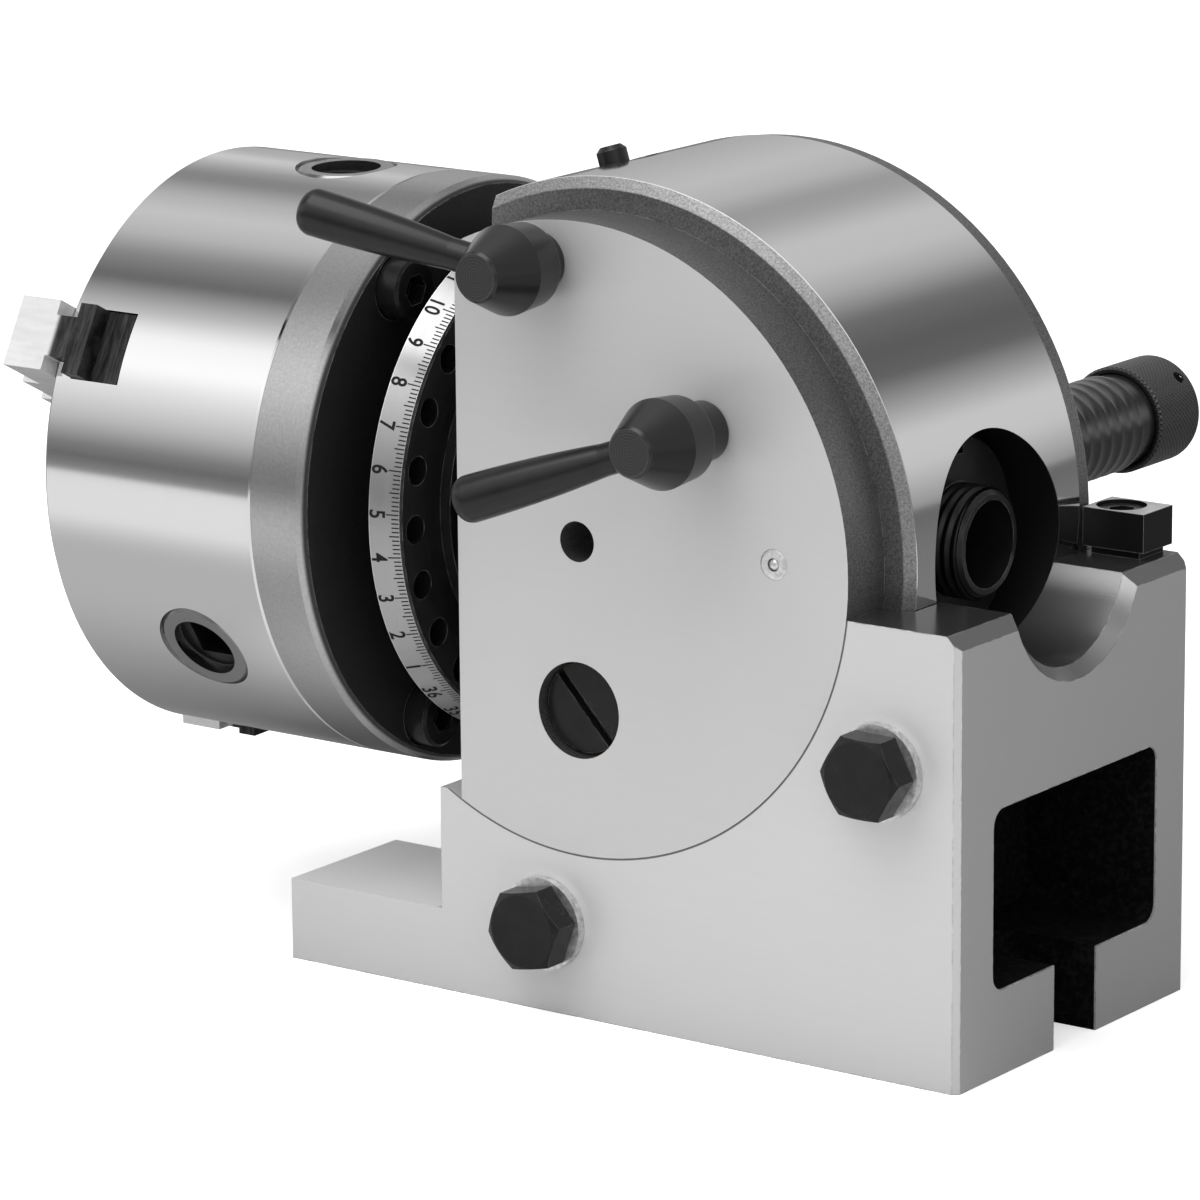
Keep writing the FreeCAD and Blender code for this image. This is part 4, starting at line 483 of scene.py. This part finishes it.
def plate_iron():
    """The chuck's back plate: satin grey rim, near-black rear face, bright worn corner."""
    finish = Finish("plate_iron", 0.4, 0.9, 0.3)
    on_rim = finish.step(finish.from_spindle(), CHUCK_RADIUS - 1.2 * MM, CHUCK_RADIUS - 0.6 * MM)
    grain = finish.noise(1800, 4, 0.6)
    rim = finish.ramp(grain, (0.3, 0.38), (0.7, 0.46))
    face = finish.ramp(grain, (0.3, 0.01), (0.7, 0.022))
    worn = finish.both(finish.edges(0.5 * MM), finish.step(finish.noise(250, 4), 0.35, 0.55))
    finish.colour(finish.mix(worn, finish.mix(on_rim, face, rim), 0.4))
    finish.metal(finish.blend(on_rim, 0.2, 1.0))
    finish.rough(finish.blend(on_rim, 0.5, 0.27))
    return finish.material


def jaw_steel():
    """Jaws: bright ground sides, and an end painted near-black where the jaw sits in its slot:
    painted shade over brushed streaks.
    """
    finish = Finish("jaw_steel", 0.8, 0.6, 0.35)
    streaks = finish.noise(500, 4, 0.6, finish.scaled(0.2, 1, 1))
    bright = finish.ramp(streaks, (0.3, 0.63), (0.7, 0.75))
    radius = finish.from_spindle()
    on_end = finish.both(finish.step(finish.x, CHUCK_FACE, CHUCK_FACE + 1.5 * MM),
                         finish.step(radius, CHUCK_RADIUS - 8 * MM, CHUCK_RADIUS - 6 * MM))
    brush = finish.noise(900, 4, 0.7, finish.scaled(1, 0.1, 0.1))
    # Painted shade: the part of the jaw inside its slot is painted near-black, with brushed streaks.
    painted_slot_shade = finish.ramp(brush, (0.4, 0.008), (0.7, 0.06))
    finish.colour(finish.mix(on_end, bright, painted_slot_shade))
    finish.metal(finish.blend(on_end, 0.35, 0.0))
    finish.gloss(finish.blend(on_end, 0.5, 0.15))
    return finish.material


def pinion_steel():
    """A pinion: its bright end, and its key socket painted near-black as painted shade."""
    finish = Finish("pinion_steel", 0.28, 1.0, 0.25)
    on_end = finish.step(finish.from_spindle(), CHUCK_RADIUS - 3 * MM, CHUCK_RADIUS - 2.2 * MM)
    # Painted shade: everything but the pinion's end is painted near-black.
    finish.colour(finish.mix(on_end, 0.006, 0.28))
    finish.metal(on_end)
    return finish.material


def knurled_oxide():
    """The plunger's knob: diamond knurl round its rim, smooth on its ends."""
    finish = Finish("knurled_oxide", 0.02, 0.0, 0.35)
    across = finish.calc("SUBTRACT", finish.x, KNOB.x)
    up = finish.calc("SUBTRACT", finish.z, KNOB.z)
    angle = finish.calc("ARCTAN2", across, up)
    turns = finish.calc("MULTIPLY", angle, KNURL_TEETH)
    along = finish.calc("MULTIPLY", finish.y, KNURL_TEETH / KNOB_RADIUS)
    first = finish.calc("ABSOLUTE", finish.calc("SINE", finish.calc("ADD", turns, along)))
    second = finish.calc("ABSOLUTE", finish.calc("SINE", finish.calc("SUBTRACT", turns, along)))
    diamonds = finish.calc("MINIMUM", first, second)
    on_rim = finish.step(finish.distance(across, up), KNOB_RADIUS - 1.0 * MM, KNOB_RADIUS - 0.6 * MM)
    knurl = finish.both(diamonds, on_rim)
    finish.colour(finish.ramp(knurl, (0.1, 0.012), (0.8, 0.045)))
    finish.bump(knurl, 0.8, KNURL_DEPTH)
    return finish.material


FINISHES = {
    "base_iron": base_iron(),
    "drum_iron": drum_iron(),
    "plate_iron": plate_iron(),
    "jaw_steel": jaw_steel(),
    "ground_cylinder": ground_cylinder(),
    "satin_steel": ground_cylinder("satin_steel", 0.42, 0.22),
    "scale_steel": ground_cylinder("scale_steel", 0.36, 0.36),
    "grip_black": black_oxide("grip_black", 0.24, 0.8, 0.3),
    "pinion_steel": pinion_steel(),
    "black_oxide": black_oxide(),
    "screw_black": black_oxide("screw_black", 0.25, 0.2, 0.2),
    "plate_black": black_oxide("plate_black", 0.22, 0.5, 0.25),
    "block_steel": block_steel(),
    "pin_hub_black": turned_oxide("pin_hub_black", PIN_HUB),
    "lock_hub_black": turned_oxide("lock_hub_black", LOCK_HUB),
    "knurled_oxide": knurled_oxide(),
    "zinc": zinc(),
    "bronze": bronze(),
    "grey_iron": grey_iron(),
    "ink": black_oxide("ink", 0.6, 0.2, 0.012),
}
NODE_FINISH = {
    "base_casting": "base_iron",
    "rotary_body": "drum_iron",
    "chuck_body": "ground_cylinder",
    "back_plate": "plate_iron",
    "scale_ring": "scale_steel",
    "chuck_jaw_1": "jaw_steel",
    "chuck_jaw_2": "jaw_steel",
    "chuck_jaw_3": "jaw_steel",
    "chuck_pinion_1": "pinion_steel",
    "chuck_pinion_2": "pinion_steel",
    "chuck_pinion_3": "pinion_steel",
    "dividing_disc": "satin_steel",
    "lower_sector_arm": "satin_steel",
    "upper_sector_arm": "satin_steel",
    "pin_lever_hub": "pin_hub_black",
    "lock_lever_hub": "lock_hub_black",
    "plunger_knob": "knurled_oxide",
    "crank_grip": "grip_black",
    "zero_block": "block_steel",
    "worm_plug": "screw_black",
    "direct_index_plate": "plate_black",
    "clamp_bolts": "screw_black",
    "chuck_screws": "screw_black",
    "index_plate_screws": "screw_black",
    "clamp_washers": "zinc",
    "crank_washer": "zinc",
    "sector_ring": "zinc",
    "oiler_cup": "zinc",
    "oiler_ball": "zinc",
    "front_bush": "bronze",
    "worm_bush": "bronze",
    "worm_wheel": "bronze",
    "bearing_cap": "grey_iron",
    "worm_sleeve": "grey_iron",
    "chuck_cover": "grey_iron",
    "worm_shaft": "ground_cylinder",
    "chuck_scroll": "ground_cylinder",
}


def dress_nodes():
    """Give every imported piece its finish. A piece that has none of its own is black."""
    for name, node in nodes.items():
        finish = FINISHES[NODE_FINISH.get(name, "black_oxide")]
        for slot in node.material_slots:
            slot.material = finish


# Detail pieces

def add_mesh(name, points, faces, finish, body):
    """A detail piece that rides on one of the frame's bodies."""
    mesh = bpy.data.meshes.new(name)
    mesh.from_pydata(points, [], faces)
    mesh.update()
    piece = bpy.data.objects.new(name, mesh)
    bpy.context.scene.collection.objects.link(piece)
    mesh.materials.append(FINISHES[finish])
    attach(piece, body)
    return piece


def around_spindle(x, radius, degrees):
    """A point at an angle measured from straight up towards the levers' side."""
    angle = math.radians(degrees)
    return (x, SPINDLE.y - radius * math.sin(angle), SPINDLE.z + radius * math.cos(angle))


def on_band(ahead, degrees):
    """A point just off the tapered scale band, this far in front of its rear edge."""
    radius = BAND_RADIUS - BAND_TAPER * (1 - ahead / BAND_WIDTH)
    return around_spindle(BAND_BACK - ahead, radius + INK_LIFT, degrees)


def scale_marks():
    """One mark a degree, longer at every fifth and tenth."""
    points = []
    faces = []
    half = math.degrees(MARK_WIDTH / 2 / BAND_RADIUS)
    for degree in range(360):
        length = MARK_LENGTHS[(degree % 5 == 0) + (degree % 10 == 0)]
        first = len(points)
        for ahead, side in ((MARK_REAR, -half), (length, -half), (length, half), (MARK_REAR, half)):
            points.append(on_band(ahead, SCALE_START + degree + side))
        faces.append(tuple(range(first, first + 4)))
    add_mesh("scale_marks", points, faces, "ink", "spindle")


def scale_numbers():
    """Numbers 1 to 36, one every ten degrees, their feet to the chuck."""
    for number in range(1, 37):
        curve = bpy.data.curves.new("scale_number_%d" % number, "FONT")
        curve.body = str(number)
        curve.size = NUMBER_HEIGHT / CAPITAL_SHARE
        curve.align_x = "CENTER"
        curve.offset = NUMBER_WEIGHT * curve.size
        curve.space_character = NUMBER_SPACING
        writer = bpy.data.objects.new(curve.name, curve)
        mesh = bpy.data.meshes.new_from_object(writer)
        centre = SCALE_START - 10 * number
        for point in mesh.vertices:
            degrees = centre + math.degrees(point.co.x * NUMBER_NARROWING / BAND_RADIUS)
            point.co = on_band(NUMBER_FOOT - point.co.y, degrees)
        mesh.materials.clear()
        mesh.materials.append(FINISHES["ink"])
        piece = bpy.data.objects.new(curve.name, mesh)
        bpy.context.scene.collection.objects.link(piece)
        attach(piece, "spindle")
        bpy.data.objects.remove(writer)


def tail_thread():
    """The fine thread on the spindle's tail, behind its nut."""
    steps = 96
    rows = 36
    points = []
    faces = []
    for row in range(rows + 1):
        x = NUT_BACK + (TAIL_END - THREAD_END - NUT_BACK) * row / rows
        for step in range(steps):
            degrees = 360 * step / steps
            phase = (x / THREAD_PITCH + step / steps) % 1
            crest = 1 - abs(2 * phase - 1)
            points.append(around_spindle(x, TAIL_CORE + (TAIL_THREAD - TAIL_CORE) * crest, degrees))
    for row in range(rows):
        for step in range(steps):
            here = row * steps + step
            beside = row * steps + (step + 1) % steps
            faces.append((here, beside, beside + steps, here + steps))
    thread = add_mesh("tail_thread", points, faces, "black_oxide", "spindle")
    thread.data.shade_smooth()


# Stage, light and camera

def stage_floor():
    """White to the camera; to reflections, painted light in front of the head, painted shade
    elsewhere and a painted shadow under the chuck.
    """
    half = 4.0
    painted_light_front = -700 * MM
    painted_light_back = -45 * MM
    painted_floor_shade = 0.25
    bright = 0.9
    mesh = bpy.data.meshes.new("floor")
    mesh.from_pydata([(-half, -half, 0), (half, -half, 0), (half, half, 0), (-half, half, 0)], [],
                     [(0, 1, 2, 3)])
    floor = bpy.data.objects.new("floor", mesh)
    bpy.context.scene.collection.objects.link(floor)
    finish = Finish("pale_floor", bright, 0.0, 0.8)
    finish.gloss(0.0)
    rays = finish.tree.nodes.new("ShaderNodeLightPath")
    seen = rays.outputs["Is Camera Ray"]
    # Painted light and shade on the floor: bright in front of the head, dark behind it.
    painted_floor_light = finish.between(finish.y, painted_light_front, painted_light_back, 60 * MM)
    behind_chuck = finish.step(finish.x, -150 * MM, -90 * MM)
    # Painted shadow: the floor under the chuck is painted darker.
    painted_chuck_shadow = finish.both(finish.step(finish.y, -260 * MM, -160 * MM),
                              finish.outside(behind_chuck))
    painted_floor_light = finish.both(painted_floor_light, finish.blend(painted_chuck_shadow, 1.0, 0.45))
    finish.colour(finish.mix(finish.either(seen, painted_floor_light), painted_floor_shade, bright))
    finish.shader.inputs["Emission Color"].default_value = (1, 1, 1, 1)
    finish.feed(finish.shader.inputs["Emission Strength"], finish.calc("MULTIPLY", seen, 0.5))
    floor.data.materials.append(finish.material)


def soft_lamp(name, place, aim, size, power):
    """A rectangular lamp that faces the point at which it aims."""
    data = bpy.data.lights.new(name, "AREA")
    data.shape = "RECTANGLE"
    data.size, data.size_y = size
    data.energy = power
    lamp = bpy.data.objects.new(name, data)
    lamp.location = place
    lamp.rotation_euler = (Vector(aim) - Vector(place)).to_track_quat("-Z", "Y").to_euler()
    bpy.context.scene.collection.objects.link(lamp)


def camera():
    """The photo's camera, as fitted to the corners, circles and edges that it shows."""
    azimuth = math.radians(35.98)
    elevation = math.radians(13.54)
    roll = math.radians(-0.5)
    distance = 1.28747
    target = Vector((-26.35, 0, 75.63)) * MM
    back = Vector((math.sin(azimuth) * math.cos(elevation),
                   -math.cos(azimuth) * math.cos(elevation), math.sin(elevation)))
    right = Vector((math.cos(azimuth), math.sin(azimuth), 0))
    up = back.cross(right)
    rolled_right = right * math.cos(roll) + up * math.sin(roll)
    rolled_up = up * math.cos(roll) - right * math.sin(roll)
    data = bpy.data.cameras.new("camera")
    data.sensor_width = 36
    data.sensor_fit = "HORIZONTAL"
    data.lens = 184.07
    data.clip_start = 0.05
    view = bpy.data.objects.new("camera", data)
    turn = Matrix((rolled_right, rolled_up, back)).transposed().to_4x4()
    view.matrix_world = Matrix.Translation(target + back * distance) @ turn
    bpy.context.scene.collection.objects.link(view)
    bpy.context.scene.camera = view


def studio_round(graph, across, up, *panels):
    """Soft panels and dark gaps round an axis. Stops are (degrees from straight up, brightness)."""
    angle = graph.calc("ARCTAN2", across, up)
    share = graph.calc("MULTIPLY_ADD", angle, 1 / (2 * math.pi), 0.5)
    return graph.ramp(share, *((degrees / 360 + 0.5, light) for degrees, light in panels))


def world():
    """White to the camera; a studio of soft panels and dark gaps to everything else.

    The part of the studio that lies far behind the head is laid out round the drum's axis and
    the rest round the chuck's, so that each shows its own bands.
    """
    dome = bpy.data.worlds.new("studio")
    dome.use_nodes = True
    bpy.context.scene.world = dome
    graph = Graph(dome.node_tree, "Generated")
    chuck_side = studio_round(
        graph, graph.calc("MULTIPLY", graph.y, -1.0), graph.z,
        (-180, 0.6), (-100, 1.0), (-77, 1.05), (-65, 0.74), (-47, 0.31), (-41, 0.31), (-29, 0.6),
        (-17, 0.77), (-5, 0.65), (6, 0.33), (18, 0.16), (30, 0.62), (42, 1.3), (54, 1.42),
        (66, 1.0), (78, 0.66), (88, 0.25), (94, 0.2), (180, 0.4))
    drum_side = studio_round(
        graph, graph.x, graph.z,
        (-180, 0.4), (-84, 0.46), (-52, 0.66), (-38, 0.6), (-28, 0.42), (-20, 0.48), (-8, 0.73),
        (4, 0.71), (14, 0.55), (26, 0.2), (38, 0.14), (48, 0.16), (58, 0.45), (68, 0.79),
        (78, 0.76), (88, 0.5), (100, 0.22), (180, 0.4))
    beyond = graph.step(graph.y, 0.70, 0.76)
    rays = graph.tree.nodes.new("ShaderNodeLightPath")
    light = graph.mix(beyond, chuck_side, drum_side)
    light = graph.mix(rays.outputs["Is Camera Ray"], light, 1.0)
    graph.feed(graph.tree.nodes["Background"].inputs["Color"], light)


bpy.context.scene.view_settings.view_transform = "Standard"
dress_nodes()
scale_marks()
scale_numbers()
tail_thread()
stage_floor()
world()
soft_lamp("key", place=(-0.2, -0.6, 1.8), aim=(0, 0, 0), size=(1.4, 1.4), power=20)
camera()
